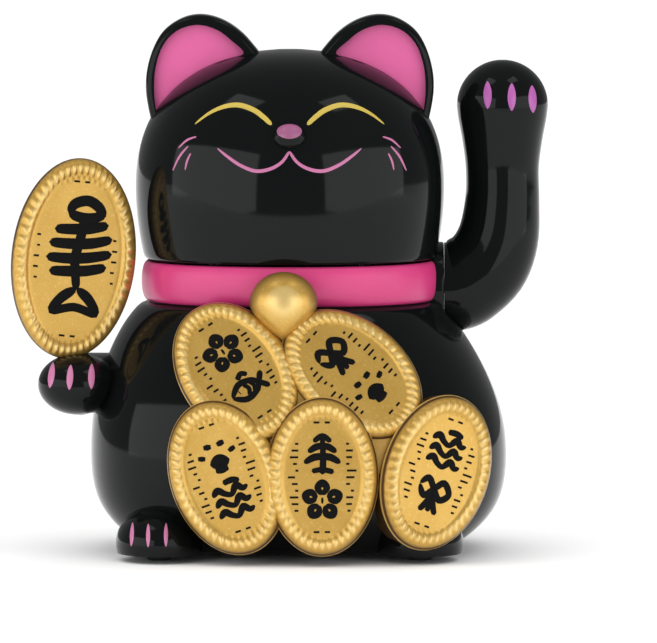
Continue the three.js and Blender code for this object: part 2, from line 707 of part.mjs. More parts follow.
function wavingArm() {
  const outer = armSolid();
  const socket = shoulderRound(SHAFT_RADIUS + 1.6, HUB_FACE_X, HUB_FACE_X + SHAFT_IN_HUB + 1);
  const shell = without(
    joined(without(outer, armSolid(ARM_WALL)), socket.intersect(outer)),
    shoulderRound(SHAFT_RADIUS + SEAM_GAP, 0, HUB_FACE_X + SHAFT_IN_HUB + SEAM_GAP),
  );
  const [front, rear] = halves(shell);
  return [piece("waving_arm_front", front, "black"), piece("waving_arm_rear", rear, "black")];
}

// ---------------------------------------------------------------- swing mechanism

const UPRIGHT_X = UPRIGHT_SPACING / 2;
const CLIP_THICKNESS = 0.8;
const SHAFT_END_X = -UPRIGHT_X - UPRIGHT_THICKNESS / 2 - CLIP_THICKNESS - 1.2;
const shaftHole = (radius) => shoulderRound(radius, -FAR, FAR);

function shaft() {
  return piece("pivot_shaft", shoulderRound(SHAFT_RADIUS, SHAFT_END_X, HUB_FACE_X + SHAFT_IN_HUB), "steel");
}

function shaftClip() {
  const outer = -UPRIGHT_X - UPRIGHT_THICKNESS / 2 - BEARING_PLAY;
  const disc = shoulderRound(2.4, outer - CLIP_THICKNESS, outer);
  const slot = block(
    [outer - 3, SEAM_Y - 0.7, SHAFT_Z],
    [outer + 1, SEAM_Y + 0.7, SHAFT_Z + 5],
  );
  return piece("shaft_clip", without(disc, shaftHole(SHAFT_RADIUS + SEAM_GAP / 2), slot), "steel");
}

const FRAME_HALF_LENGTH = UPRIGHT_X + 6;
const FRAME_HALF_DEPTH = 7.8;
const FRAME_SCREW_X = UPRIGHT_X + 3.8;

// How far in front of and behind the shaft a stop bar lies, for the lever to meet it at the swing's end.
function stopOffset() {
  const turn = THREE.MathUtils.degToRad(SWING_DEG);
  return (STOP_DROP * Math.sin(turn) + LEVER_HALF[1] + STOP_RADIUS + SEAM_GAP) / Math.cos(turn);
}

function frame() {
  const plate = block(
    [-FRAME_HALF_LENGTH, SEAM_Y - FRAME_HALF_DEPTH, FRAME_Z],
    [FRAME_HALF_LENGTH, SEAM_Y + FRAME_HALF_DEPTH, FRAME_Z + FRAME_PLATE_THICKNESS],
  );
  const uprights = [-1, 1].map((side) => {
    const at = side * UPRIGHT_X;
    const post = block(
      [at - UPRIGHT_THICKNESS / 2, SEAM_Y - UPRIGHT_WIDTH / 2, FRAME_Z],
      [at + UPRIGHT_THICKNESS / 2, SEAM_Y + UPRIGHT_WIDTH / 2, SHAFT_Z],
    );
    const top = shoulderRound(UPRIGHT_WIDTH / 2, at - UPRIGHT_THICKNESS / 2, at + UPRIGHT_THICKNESS / 2);
    return joined(post, top);
  });
  const stops = [-1, 1].map((side) => {
    const at = (x) => vec(x, SEAM_Y + side * stopOffset(), SHAFT_Z - STOP_DROP);
    return bar(STOP_RADIUS, at(-UPRIGHT_X), at(UPRIGHT_X));
  });
  const shape = without(
    joined(plate, ...uprights, ...stops),
    shaftHole(SHAFT_RADIUS + BEARING_PLAY),
    frameScrewHoles(),
    boardScrewHoles(),
  );
  return piece("swing_frame", shape, "natural");
}

const uprightBar = (radius, { x, y }, low, high) => bar(radius, vec(x, y, low), vec(x, y, high));
const framePlaces = [-1, 1].map((side) => ({
  name: side < 0 ? "left" : "right",
  x: side * FRAME_SCREW_X,
  y: SEAM_Y,
}));
const BOARD_HALF = [9.4, 7.6];
const boardPlaces = [-1, 1].map((side) => ({
  name: side < 0 ? "front" : "rear",
  x: -7,
  y: SEAM_Y + side * 5.6,
}));
const frameScrewHoles = () =>
  joined(...framePlaces.map((at) => uprightBar(SCREW_RADIUS + SEAM_GAP, at, COVER_Z + 0.4, FRAME_Z + 5)));
const boardScrewHoles = () =>
  joined(...boardPlaces.map((at) => uprightBar(SCREW_RADIUS * 0.7 + SEAM_GAP, at, FRAME_Z - 1, BOARD_Z + 5)));

// A pan-head screw with a cross recess, whose head's underside is at a height.
function screw(name, at, headUp, seatZ, length, scale = 1) {
  const radius = SCREW_RADIUS * scale;
  const head = SCREW_HEAD_RADIUS * scale;
  const high = SCREW_HEAD_HEIGHT * scale;
  const profile = [
    [0, -length],
    [radius * 0.4, -length],
    [radius, -length + radius * 1.2],
    [radius, 0],
    [head, 0],
    [head, high * 0.55],
    [head * 0.7, high],
    [0, high],
  ];
  const slots = [0, Math.PI / 2].map((turn) =>
    solidOf(new THREE.BoxGeometry(head * 1.3, head * 0.3, high).rotateZ(turn).translate(0, 0, high)),
  );
  const whole = without(solidOf(turnedGeometry(profile)), ...slots);
  const stood = headUp ? whole : whole.rotate([180, 0, 0]);
  return piece(name, stood.translate([at.x, at.y, seatZ]), "steel");
}

function board() {
  const plate = block(
    [-BOARD_HALF[0], SEAM_Y - BOARD_HALF[1], BOARD_Z],
    [BOARD_HALF[0], SEAM_Y + BOARD_HALF[1], BOARD_Z + BOARD_THICKNESS],
  );
  return piece("circuit_board", without(plate, boardScrewHoles()), "board");
}

function coil() {
  const place = (profile) => solidOf(turnedGeometry(profile, LIMB_ROUND).translate(0, SEAM_Y, COIL_Z));
  const flange = 0.6;
  const core = 2;
  const bobbin = place([
    [0, 0],
    [COIL_RADIUS, 0],
    [COIL_RADIUS, flange],
    [core, flange],
    [core, COIL_HEIGHT - flange],
    [COIL_RADIUS, COIL_HEIGHT - flange],
    [COIL_RADIUS, COIL_HEIGHT],
    [0, COIL_HEIGHT],
  ]);
  const low = flange + SEAM_GAP / 2;
  const high = COIL_HEIGHT - flange - SEAM_GAP / 2;
  const winding = place([
    [core + SEAM_GAP, low],
    [COIL_RADIUS - 0.5, low],
    [COIL_RADIUS - 0.5, high],
    [core + SEAM_GAP, high],
    [core + SEAM_GAP, low],
  ]);
  return [piece("coil_bobbin", bobbin, "natural"), piece("coil_winding", winding, "copper")];
}

function boardParts() {
  const top = BOARD_Z + BOARD_THICKNESS + SEAM_GAP;
  const can = solidOf(turnedGeometry([[0, 0], [2, 0], [2, 6.6], [1.7, 7], [0, 7]]).translate(7.4, SEAM_Y - 5, top));
  const blob = solidOf(
    turnedGeometry([[0, 0], [1.6, 0], [1.3, 0.5], [0.7, 0.8], [0, 0.9]]).translate(-7.6, SEAM_Y, top),
  );
  return [piece("storage_capacitor", can, "resin"), piece("driver_chip", blob, "resin")];
}

// Pendulum: a lever clamped to the shaft, a steel weight on it and the drive magnet under it
const MAGNET_Z = COIL_Z + COIL_HEIGHT + MAGNET_GAP;
const CUP_WALL = 1;
const WEIGHT_HALVES = [4, 3.4, 3.2];
const WEIGHT_Z = MAGNET_Z + MAGNET_HEIGHT + CUP_WALL + 5;
const LEVER_HALF = [1.6, 1.3];

function pendulum() {
  const hub = shoulderRound(3, -5, 5);
  const stem = block(
    [-LEVER_HALF[0], SEAM_Y - LEVER_HALF[1], MAGNET_Z + MAGNET_HEIGHT + 0.5],
    [LEVER_HALF[0], SEAM_Y + LEVER_HALF[1], SHAFT_Z],
  );
  const under = (profile) => solidOf(turnedGeometry(profile, LIMB_ROUND).translate(0, SEAM_Y, MAGNET_Z));
  const cup = under([
    [0, 0.4],
    [MAGNET_RADIUS + CUP_WALL, 0.4],
    [MAGNET_RADIUS + CUP_WALL, MAGNET_HEIGHT + CUP_WALL],
    [0, MAGNET_HEIGHT + CUP_WALL],
  ]);
  const pocket = under(rod(MAGNET_RADIUS + SEAM_GAP, -1, MAGNET_HEIGHT + SEAM_GAP));
  const lever = without(joined(hub, stem, cup), pocket, shaftHole(SHAFT_RADIUS + SEAM_GAP / 2));
  const magnet = under(rod(MAGNET_RADIUS, 0, MAGNET_HEIGHT));
  const weight = without(
    block(
      [-WEIGHT_HALVES[0], SEAM_Y - WEIGHT_HALVES[1], WEIGHT_Z - WEIGHT_HALVES[2]],
      [WEIGHT_HALVES[0], SEAM_Y + WEIGHT_HALVES[1], WEIGHT_Z + WEIGHT_HALVES[2]],
    ),
    block(
      [-LEVER_HALF[0] - SEAM_GAP, SEAM_Y - LEVER_HALF[1] - SEAM_GAP, 0],
      [LEVER_HALF[0] + SEAM_GAP, SEAM_Y + LEVER_HALF[1] + SEAM_GAP, SHAFT_Z],
    ),
  );
  return [
    piece("pendulum_lever", lever, "natural"),
    piece("drive_magnet", magnet, "magnet"),
    piece("pendulum_weight", weight, "steel"),
  ];
}

function solarCell() {
  const back = WINDOW_Y - SEAM_GAP;
  return [
    piece("solar_cell", backSlab(CELL_WIDTH, CELL_HEIGHT, back - CELL_THICKNESS, back), "cell"),
    piece(
      "cell_window",
      backSlab(WINDOW_WIDTH, WINDOW_HEIGHT, WINDOW_Y + SEAM_GAP, WINDOW_Y + SEAM_GAP + WINDOW_THICKNESS),
      "clear",
    ),
  ];
}

// A lead from the cell's back down to the board's rear edge.
function lead(name, x, look) {
  const top = BOARD_Z + BOARD_THICKNESS;
  const path = new THREE.CatmullRomCurve3([
    vec(x, WINDOW_Y - CELL_THICKNESS - 0.4, WINDOW_Z - 3),
    vec(x, WINDOW_Y - CELL_THICKNESS - 3, WINDOW_Z - 5),
    vec(x, WINDOW_Y - CELL_THICKNESS - 6, top + 5),
    vec(x, SEAM_Y + BOARD_HALF[1] + 1.5, top + 1.4),
    vec(x, SEAM_Y + BOARD_HALF[1] - 1.6, top + LEAD_RADIUS + 0.15),
  ]);
  const section = new THREE.Shape().absarc(0, 0, LEAD_RADIUS, 0, Math.PI * 2);
  const tube = new THREE.ExtrudeGeometry(section, {
    steps: 14,
    extrudePath: path,
    curveSegments: 4,
  });
  return piece(name, solidOf(tube), look);
}

// ---------------------------------------------------------------- base

function baseCover() {
  const half = BASE_HALF_WIDTH - WALL - FIT;
  const slab = solidOf(shapedTorso(turnedGeometry(rod(half, COVER_Z, COVER_TOP_Z), ROUND), WALL + FIT));
  const counterbores = screwHoles(SCREW_HEAD_RADIUS + FIT, 0, COVER_Z + SCREW_HEAD_HEIGHT + SEAM_GAP);
  const shape = without(
    slab,
    feetSolid(FIT),
    counterbores,
    screwHoles(SCREW_RADIUS + FIT, 0, FAR),
    frameScrewHoles(),
  );
  return piece("base_cover", shape, "black");
}

const REAR_PAD = { x: 9, y: 15 };

function footPads() {
  return [-1, 1].flatMap((side) => {
    const hand = side < 0 ? "left" : "right";
    const pad = (x, y, top) => {
      const profile = [[0, 0], [PAD_RADIUS - 0.3, 0], [PAD_RADIUS, 0.3], [PAD_RADIUS, top], [0, top]];
      return solidOf(turnedGeometry(profile, LIMB_ROUND).translate(x, y, 0));
    };
    return [
      piece(`foot_pad_front_${hand}`, pad(side * FOOT_X, FOOT_Y, FLOOR_GAP - SEAM_GAP), "rubber"),
      piece(`foot_pad_rear_${hand}`, pad(side * REAR_PAD.x, REAR_PAD.y, COVER_Z - SEAM_GAP), "rubber"),
    ];
  });
}

// ---------------------------------------------------------------- the whole figurine

const cat = new THREE.Group();
cat.add(
  ...torsoShells(),
  ...headShells(),
  collar(),
  coinPlaque(),
  piece("held_coin", heldCoinSolid(), "gold"),
  coinArm(),
  ...wavingArm(),
  shaft(),
  shaftClip(),
  frame(),
  board(),
  ...coil(),
  ...boardParts(),
  ...pendulum(),
  ...solarCell(),
  lead("cell_lead_red", 8.6, "leadRed"),
  lead("cell_lead_black", 6.8, "leadBlack"),
  baseCover(),
  ...footPads(),
  ...screwPlaces.map((at) => {
    const seat = COVER_Z + SCREW_HEAD_HEIGHT;
    return screw(`cover_screw_${at.name}`, at, false, seat, SCREW_LENGTH);
  }),
  ...framePlaces.map((at) => {
    const seat = FRAME_Z + FRAME_PLATE_THICKNESS + SEAM_GAP;
    return screw(`frame_screw_${at.name}`, at, true, seat, FRAME_PLATE_THICKNESS + COVER_THICKNESS * 0.7);
  }),
  ...boardPlaces.map((at) => {
    const seat = BOARD_Z + BOARD_THICKNESS + SEAM_GAP;
    return screw(`board_screw_${at.name}`, at, true, seat, BOARD_THICKNESS + FRAME_PLATE_THICKNESS, 0.7);
  }),
);

// The figurine stands on the floor with the middle of its outline over the origin.
const outline = new THREE.Box3().setFromObject(cat);
const middle = outline.getCenter(new THREE.Vector3());
const root = new THREE.Group();
cat.position.set(-middle.x, -middle.y, -outline.min.z);
root.add(cat);

export default root;
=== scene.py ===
"""A beckoning cat figurine with a swinging arm, modelled on its CAD frame."""

import math

import bmesh
import bpy
from mathutils import Matrix, Vector


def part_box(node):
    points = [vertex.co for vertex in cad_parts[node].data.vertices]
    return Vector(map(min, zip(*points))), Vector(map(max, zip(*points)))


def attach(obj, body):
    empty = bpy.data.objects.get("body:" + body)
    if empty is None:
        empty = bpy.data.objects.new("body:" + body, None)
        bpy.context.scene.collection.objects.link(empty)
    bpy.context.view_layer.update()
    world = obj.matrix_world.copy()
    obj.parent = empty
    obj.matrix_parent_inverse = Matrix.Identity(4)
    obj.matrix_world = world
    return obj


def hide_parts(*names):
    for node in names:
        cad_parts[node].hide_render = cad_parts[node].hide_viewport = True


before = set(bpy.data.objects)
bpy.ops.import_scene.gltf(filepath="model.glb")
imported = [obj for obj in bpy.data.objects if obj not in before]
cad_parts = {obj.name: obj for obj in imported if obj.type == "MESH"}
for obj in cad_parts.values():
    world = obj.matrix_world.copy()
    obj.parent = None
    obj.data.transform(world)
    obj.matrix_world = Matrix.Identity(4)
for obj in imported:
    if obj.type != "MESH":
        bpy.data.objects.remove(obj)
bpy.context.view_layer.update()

# ------------ sizes, in millimetres
# Pieces are modelled about the neck's centre line: X to the figure's left, -Y ahead, Z up.

MM = 0.001
WALL = 1.6
SEAM_Y = 3  # the plane that parts the front and rear halves
SEAM_GAP = 0.14
FIT = 0.25  # between fixed pieces that seat in each other
FAR = 60  # past everything

head_low, head_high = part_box("head_front_shell")
shaft_low, shaft_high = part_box("pivot_shaft")
SHAFT_Z = (shaft_low.z + shaft_high.z) / 2 / MM
SHAFT_RADIUS = (shaft_high.z - shaft_low.z) / 2 / MM
NECK_AT = Vector(((head_low.x + head_high.x) / 2, (shaft_low.y + shaft_high.y) / 2 - SEAM_Y * MM, 0))

FLOOR_GAP = 1.2
BASE_HALF = (25, 20.6)
BELLY_HALF = (33.3, 27.5)
BELLY_Z = 16.3
BELLY_SIDE_SHIFT = 1.4  # the belly leans a little to one side
BELLY_POWER = 2.8  # an oval's power: 2 is an ellipse, and more is squarer
ROUND_POWER = 2.15
TUCK_POWER = 3.1  # how late the belly draws in towards the base
SLOPE_POWER = 0.75  # how full the slope from the belly to the shoulder is
CROWN_POWER = 2.3
SHOULDER_Z = 39.8
NECK_HALF_WIDTH = 22
NECK_FLAT = 0.847
COLLAR_HALF_WIDTH = 23.75
SHOULDER_HALF = (23.4, 23.4 * NECK_FLAT)
COLLAR_Z = 40.05
COLLAR_HEIGHT = 6.4
CHIN_Z = 46.8
CHIN_HALF_WIDTH = 23.3
HEAD_HALF = (24.7, 21.2)
HEAD_WIDEST_Z = CHIN_Z + 11.3
HEAD_CROWN_RISE = 22
HUB_RADIUS = 7.2
HUB_FACE_X = 25
SHOULDER_FACE_X = 24.6
BOSS_INNER_X = 18
SHAFT_CLEARANCE = 0.3
RUN_GAP = 0.4  # between the hub and the shoulder it turns against
ARM_REACH = 9
ARM_RISE = 29.1
PAW_RADIUS = 7.3
COIN_HALF = (8.7, 12.3)
HELD_COIN_HALF = (10, 16)
HELD_COIN_THICKNESS = 3
COIN_PROUD = 2.2  # how far a coin stands off the belly
COIN_SKIRT = 7
SIDE_REACH = BELLY_HALF[0] * 0.4  # beyond it a coin no longer follows the belly back
PAINT_FLATNESS = 0.16  # a painted line's thickness, as a share of its width


# ------------ shader writing


class Socket:
    """A shader socket that takes part in Python arithmetic."""

    def __init__(self, finish, socket):
        self.finish = finish
        self.socket = socket

    def _with(self, operation, first, second):
        return self.finish.node("ShaderNodeMath", {"operation": operation}, {0: first, 1: second}).out()

    def __add__(self, other):
        return self._with("ADD", self, other)

    def __radd__(self, other):
        return self._with("ADD", other, self)

    def __sub__(self, other):
        return self._with("SUBTRACT", self, other)

    def __rsub__(self, other):
        return self._with("SUBTRACT", other, self)

    def __mul__(self, other):
        return self._with("MULTIPLY", self, other)

    def __rmul__(self, other):
        return self._with("MULTIPLY", other, self)

    def over(self, low, high):
        """0 below low, 1 above high, and smooth between them."""
        return self.finish.node(
            "ShaderNodeMapRange",
            {"interpolation_type": "SMOOTHSTEP"},
            {"Value": self, "From Min": low, "From Max": high},
        ).out()


class Node:
    """A shader node, whose outputs are taken by name or number."""

    def __init__(self, finish, node):
        self.finish = finish
        self.node = node

    def out(self, name=0):
        return Socket(self.finish, self.node.outputs[name])


class Finish:
    """One material, with a Principled shader that its maker fills in."""

    def __init__(self, name, **constants):
        self.material = bpy.data.materials.new(name)
        self.material.use_nodes = True
        self.tree = self.material.node_tree
        self.shader = self.tree.nodes["Principled BSDF"]
        for socket, value in constants.items():
            self.shader.inputs[socket.replace("_", " ")].default_value = value

    def node(self, kind, settings=None, inputs=None):
        made = self.tree.nodes.new(kind)
        for key, value in (settings or {}).items():
            setattr(made, key, value)
        for key, value in (inputs or {}).items():
            self._feed(made.inputs[key], value)
        return Node(self, made)

    def _feed(self, socket, value):
        if isinstance(value, Socket):
            self.tree.links.new(value.socket, socket)
        else:
            socket.default_value = value

    def feed(self, **inputs):
        for name, value in inputs.items():
            self._feed(self.shader.inputs[name.replace("_", " ")], value)

    def place(self):
        return self.node("ShaderNodeTexCoord").out("Object")

    def noise(self, scale, detail=3.0, roughness=0.5):
        return self.node(
            "ShaderNodeTexNoise",
            {"noise_dimensions": "3D"},
            {"Vector": self.place(), "Scale": scale, "Detail": detail, "Roughness": roughness},
        ).out("Fac")

    def mix(self, factor, first, second):
        made = self.node("ShaderNodeMix", {"data_type": "RGBA"}, {0: factor, 6: first, 7: second})
        return made.out(2)

    def bump(self, height, distance):
        made = self.node("ShaderNodeBump", {}, {"Height": height, "Distance": distance, "Strength": 1.0})
        self.feed(Normal=made.out("Normal"))


def shade(colour, amount):
    """A colour made lighter or darker by an amount."""
    return tuple(max(0.0, min(1.0, part * amount)) for part in colour[:3]) + (1.0,)


def moulded(name, colour, rough, depth, relief=0.000004, **constants):
    """Moulded or painted plastic: faint mottling, uneven gloss and a fine skin."""
    finish = Finish(name, **constants)
    cloud = finish.noise(55.0, 4.0, 0.55)
    fine = finish.noise(1400.0, 2.0, 0.5)
    finish.feed(
        Base_Color=finish.mix(cloud.over(0.35, 0.68), shade(colour, 1 - depth), shade(colour, 1 + depth)),
        Roughness=cloud * (rough * 0.35) + fine * (rough * 0.25) + rough * 0.7,
    )
    finish.bump(fine, relief)
    return finish.material


def gloss_black():
    """Polished black moulding, with the slight waviness and rub marks of a thin shell."""
    finish = Finish("gloss_black", Specular_IOR_Level=0.18)
    cloud = finish.noise(40.0, 3.0, 0.5)
    rubs = finish.noise(420.0, 4.0, 0.65).over(0.56, 0.78)
    finish.feed(
        Base_Color=finish.mix(cloud, (0.0022, 0.0026, 0.0028, 1), (0.0052, 0.0062, 0.0062, 1)),
        Roughness=cloud * 0.04 + rubs * 0.035 + 0.055,
    )
    finish.bump(finish.noise(26.0, 1.0, 0.4), 0.00003)
    return finish.material


def gold_lacquer():
    """Gold lacquer over a moulding: pearly grain on the flats, brown painted shade towards the rims and in
    hollows, and a painted highlight on the crests.
    """
    finish = Finish("gold_lacquer", IOR=1.45, Coat_Weight=0.15, Coat_Roughness=0.2)
    # Painted light read from a vertex attribute: above 0 is painted shade, below 0 is a painted highlight.
    shade_and_highlight = finish.node("ShaderNodeAttribute", {"attribute_name": "shade_and_highlight"}).out("Fac")
    cloud = finish.noise(160.0, 4.0, 0.6)
    grain = finish.noise(2600.0, 2.0, 0.6)
    # Painted shade: high values turn the gold brown, less metallic and rougher.
    painted_shade_mask = (shade_and_highlight + cloud * 0.3 - 0.15).over(0.1, 0.95)
    bright = finish.mix(cloud, (0.52, 0.30, 0.052, 1), (0.64, 0.39, 0.086, 1))
    # Painted highlight: low values lighten the gold on ridge crests and outer lines.
    painted_highlight_mask = (shade_and_highlight * -1.0 + cloud * 0.1).over(0.02, 0.3)
    highlighted_gold = finish.mix(painted_highlight_mask, bright, (0.80, 0.57, 0.21, 1))
    flecked = finish.mix(grain.over(0.55, 0.75) * 0.3, highlighted_gold, (0.85, 0.66, 0.30, 1))
    finish.feed(
        Base_Color=finish.mix(painted_shade_mask, flecked, (0.075, 0.034, 0.009, 1)),
        Metallic=0.62 - painted_shade_mask * 0.3,
        Roughness=cloud * 0.08 + grain * 0.06 + painted_shade_mask * 0.12 + 0.27,
    )
    finish.bump(grain * 0.5 + cloud, 0.000012)
    return finish.material


def metal(name, colour, rough, grain=900.0):
    """Bare or plated metal with a fine, slightly uneven polish."""
    finish = Finish(name)
    fine = finish.noise(grain, 4.0, 0.6)
    cloud = finish.noise(150.0, 3.0, 0.5)
    finish.feed(
        Base_Color=finish.mix(cloud, shade(colour, 0.85), shade(colour, 1.1)),
        Metallic=1.0,
        Roughness=fine * 0.16 + rough,
    )
    finish.bump(fine, 0.000006)
    return finish.material


def wound_copper():
    """Enamelled wire: fine turns one above the other."""
    finish = Finish("wound_copper", Coat_Weight=0.4)
    turns = finish.node(
        "ShaderNodeTexWave",
        {"wave_type": "BANDS", "bands_direction": "Z"},
        {"Vector": finish.place(), "Scale": 1600.0, "Distortion": 0.6, "Detail": 1.0},
    ).out("Fac")
    finish.feed(
        Base_Color=finish.mix(turns, (0.30, 0.10, 0.03, 1), (0.78, 0.34, 0.13, 1)),
        Metallic=0.9,
        Roughness=0.45 - turns * 0.2,
    )
    finish.bump(turns, 0.00004)
    return finish.material


def cell_film():
    """Thin-film solar cell: dark stripes parted by fine scribed lines."""
    finish = Finish("cell_film", Specular_IOR_Level=0.2)
    stripes = finish.node(
        "ShaderNodeTexWave",
        {"wave_type": "BANDS", "bands_direction": "X"},
        {"Vector": finish.place(), "Scale": 42.0},
    ).out("Fac")
    sheen = finish.noise(90.0, 2.0, 0.5)
    film = finish.mix(sheen, (0.020, 0.008, 0.016, 1), (0.042, 0.014, 0.022, 1))
    finish.feed(
        Base_Color=finish.mix(stripes.over(0.965, 0.99), film, (0.16, 0.14, 0.15, 1)),
        Roughness=sheen * 0.1 + 0.16,
    )
    finish.bump(stripes.over(0.95, 0.99), 0.00001)
    return finish.material


def window_clear():
    """Clear moulded window with a few scuffs."""
    finish = Finish("window_clear", IOR=1.49, Transmission_Weight=1.0, Specular_IOR_Level=0.15)
    scuffs = finish.noise(700.0, 3.0, 0.6)
    finish.feed(
        Base_Color=finish.mix(scuffs, (0.93, 0.95, 0.96, 1), (0.99, 0.99, 1.0, 1)),
        Roughness=scuffs.over(0.6, 0.8) * 0.12 + 0.02,
    )
    finish.bump(scuffs, 0.000002)
    return finish.material


PAINT = {
    "black": gloss_black(),
    "collar": moulded("collar_pink", (0.58, 0.037, 0.175), 0.34, 0.05),
    "ear": moulded("ear_pink", (0.72, 0.115, 0.33), 0.55, 0.05),
    "gold": gold_lacquer(),
    "ink": moulded("mark_ink", (0.003, 0.003, 0.003), 0.6, 0.2, Specular_IOR_Level=0.1),
    "claw": moulded("claw_pink", (0.50, 0.16, 0.31), 0.3, 0.06),
    "arm_claw": moulded("arm_claw_mauve", (0.38, 0.09, 0.34), 0.3, 0.06),
    "nose": moulded("nose_pink", (0.27, 0.08, 0.175), 0.28, 0.06),
    "smile": moulded("smile_pink", (0.45, 0.135, 0.28), 0.35, 0.06),
    "eye": moulded("eye_gold", (0.50, 0.37, 0.055), 0.35, 0.08),
    "natural": moulded("natural_moulding", (0.72, 0.70, 0.62), 0.45, 0.05),
    "steel": metal("bright_steel", (0.62, 0.63, 0.65), 0.2),
    "magnet": metal("plated_magnet", (0.45, 0.46, 0.48), 0.18, 500.0),
    "copper": wound_copper(),
    "board": moulded("board_laminate", (0.42, 0.23, 0.07), 0.5, 0.15),
    "resin": moulded("black_resin", (0.012, 0.012, 0.012), 0.4, 0.2),
    "rubber": moulded("pad_rubber", (0.018, 0.018, 0.018), 0.75, 0.25, relief=0.00002),
    "cell": cell_film(),
    "window": window_clear(),
    "lead_red": moulded("lead_red", (0.42, 0.02, 0.02), 0.4, 0.1),
    "lead_black": moulded("lead_black", (0.012, 0.012, 0.012), 0.4, 0.1),
}


# ------------ modelling helpers


def alone(obj):
    """Selects one object and nothing else, in object mode."""
    if bpy.context.object and bpy.context.object.mode != "OBJECT":
        bpy.ops.object.mode_set(mode="OBJECT")
    bpy.ops.object.select_all(action="DESELECT")
    obj.select_set(True)
    bpy.context.view_layer.objects.active = obj
    return obj


def edit(obj, kind="FACE"):
    """Opens an object in edit mode with nothing selected."""
    alone(obj)
    bpy.ops.object.mode_set(mode="EDIT")
    bpy.ops.mesh.select_mode(type=kind)
    bpy.ops.mesh.select_all(action="DESELECT")


def edit_all(obj, kind="FACE"):
    """Opens an object in edit mode with everything selected."""
    edit(obj, kind)
    bpy.ops.mesh.select_all(action="SELECT")


def done():
    """Closes edit mode."""
    bpy.ops.object.mode_set(mode="OBJECT")
    return bpy.context.object


def choose(kind, test):
    """Selects the faces, edges or verts of the edited mesh that pass a test."""
    mesh = bmesh.from_edit_mesh(bpy.context.object.data)
    for part in getattr(mesh, kind):
        part.select_set(bool(test(part)))
    mesh.select_flush_mode()
    bmesh.update_edit_mesh(bpy.context.object.data)


def began(name):
    """Names the primitive that has just been added, and puts its place in its mesh."""
    obj = bpy.context.object
    obj.name = name
    obj.data.name = name
    bpy.ops.object.transform_apply(location=True, rotation=True, scale=True)
    return obj


def turned_out(obj, merge=0.0001):
    """Merges doubles and points every face outwards."""
    edit_all(obj)
    bpy.ops.mesh.remove_doubles(threshold=merge)
    bpy.ops.mesh.normals_make_consistent(inside=False)
    return done()


def modify(obj, kind, **settings):
    """Adds a modifier and applies it."""
    alone(obj)
    made = obj.modifiers.new(kind.title(), kind)
    for key, value in settings.items():
        setattr(made, key, value)
    bpy.ops.object.modifier_apply(modifier=made.name)
    return obj


def subdivided(obj, levels=1):
    """Rounds a form by subdivision."""
    return modify(obj, "SUBSURF", levels=levels, render_levels=levels)


def copied(obj, name):
    """A copy with its own mesh."""
    made = obj.copy()
    made.data = obj.data.copy()
    made.name = name
    bpy.context.collection.objects.link(made)
    return made


def moved(obj, matrix):
    """Places an object by a matrix, and puts the place in its mesh."""
    obj.data.transform(matrix)
    return obj


def joined(name, parts):
    """Joins parts into one object."""
    made = alone(parts[0])
    for part in parts[1:]:
        part.select_set(True)
    if len(parts) > 1:
        bpy.ops.object.join()
    made.name = name
    made.data.name = name
    return made


def thrown_away(*objs):
    """Removes objects that only helped to make others."""
    for obj in objs:
        bpy.data.objects.remove(obj)


def cut(obj, cutter):
    """Cuts one closed object out of another, and throws the cutter away."""
    modify(obj, "BOOLEAN", object=cutter, operation="DIFFERENCE", solver="MANIFOLD")
    thrown_away(cutter)
    return obj


def painted(obj, *names):
    """Gives an object one material, or several that its faces choose from."""
    obj.data.materials.clear()
    for name in names:
        obj.data.materials.append(PAINT[name])
    return obj


def finished(obj, body, nodes=(), angle=38):
    """Brings a piece modelled in millimetres to its place, and gives it to its body."""
    alone(obj)
    obj.data.transform(Matrix.Translation(NECK_AT) @ Matrix.Scale(MM, 4))
    bpy.ops.object.shade_smooth_by_angle(angle=math.radians(angle))
    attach(obj, body)
    if nodes:
        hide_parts(*nodes)


def rolled(axis, degrees):
    """A turn about one axis."""
    return Matrix.Rotation(math.radians(degrees), 4, axis)


def unit_ball(name, rings=32):
    """A ball of radius 1 at the origin, to be shaped."""
    bpy.ops.mesh.primitive_uv_sphere_add(segments=64, ring_count=rings, radius=1)
    return began(name)


def stretched(obj, centre, half):
    """Gives a form of unit size its centre and its half-sizes."""
    return moved(obj, Matrix.Translation(centre) @ Matrix.Diagonal([*half, 1]))


def lofted(name, levels, sides):
    """A closed body of oval rings: each level gives a height and two half-widths."""
    low, half_x, half_y = levels[0]
    bpy.ops.mesh.primitive_circle_add(vertices=sides, radius=1, fill_type="NGON")
    obj = began(name)
    edit_all(obj)
    bpy.ops.transform.resize(value=(half_x, half_y, 1), center_override=(0, 0, 0))
    bpy.ops.transform.translate(value=(0, 0, low))
    for (z0, x0, y0), (z1, x1, y1) in zip(levels, levels[1:]):
        bpy.ops.mesh.extrude_region_move(TRANSFORM_OT_translate={"value": (0, 0, z1 - z0)})
        bpy.ops.transform.resize(value=(x1 / x0, y1 / y0, 1), center_override=(0, 0, z1))
    done()
    return turned_out(obj)


def squared(obj, flat, power, side=lambda z: 0.0):
    """Squares oval rings: a ring's flatness, power and side shift follow its height."""
    for vertex in obj.data.vertices:
        x, y, z = vertex.co
        angle = math.atan2(y / flat(z), x)
        p = power(z)
        out = (abs(math.cos(angle)) ** p + abs(math.sin(angle)) ** p) ** (-1 / p)
        vertex.co = (x * out + side(z), y * out, z)
    return obj


def halved(obj, name, front):
    """The front or rear of an open or closed form, parted at the seam."""
    made = copied(obj, name)
    edit_all(made)
    bpy.ops.mesh.bisect(
        plane_co=(0, SEAM_Y + (-0.5 if front else 0.5) * SEAM_GAP, 0),
        plane_no=(0, 1, 0),
        clear_outer=front,
        clear_inner=not front,
    )
    return done()


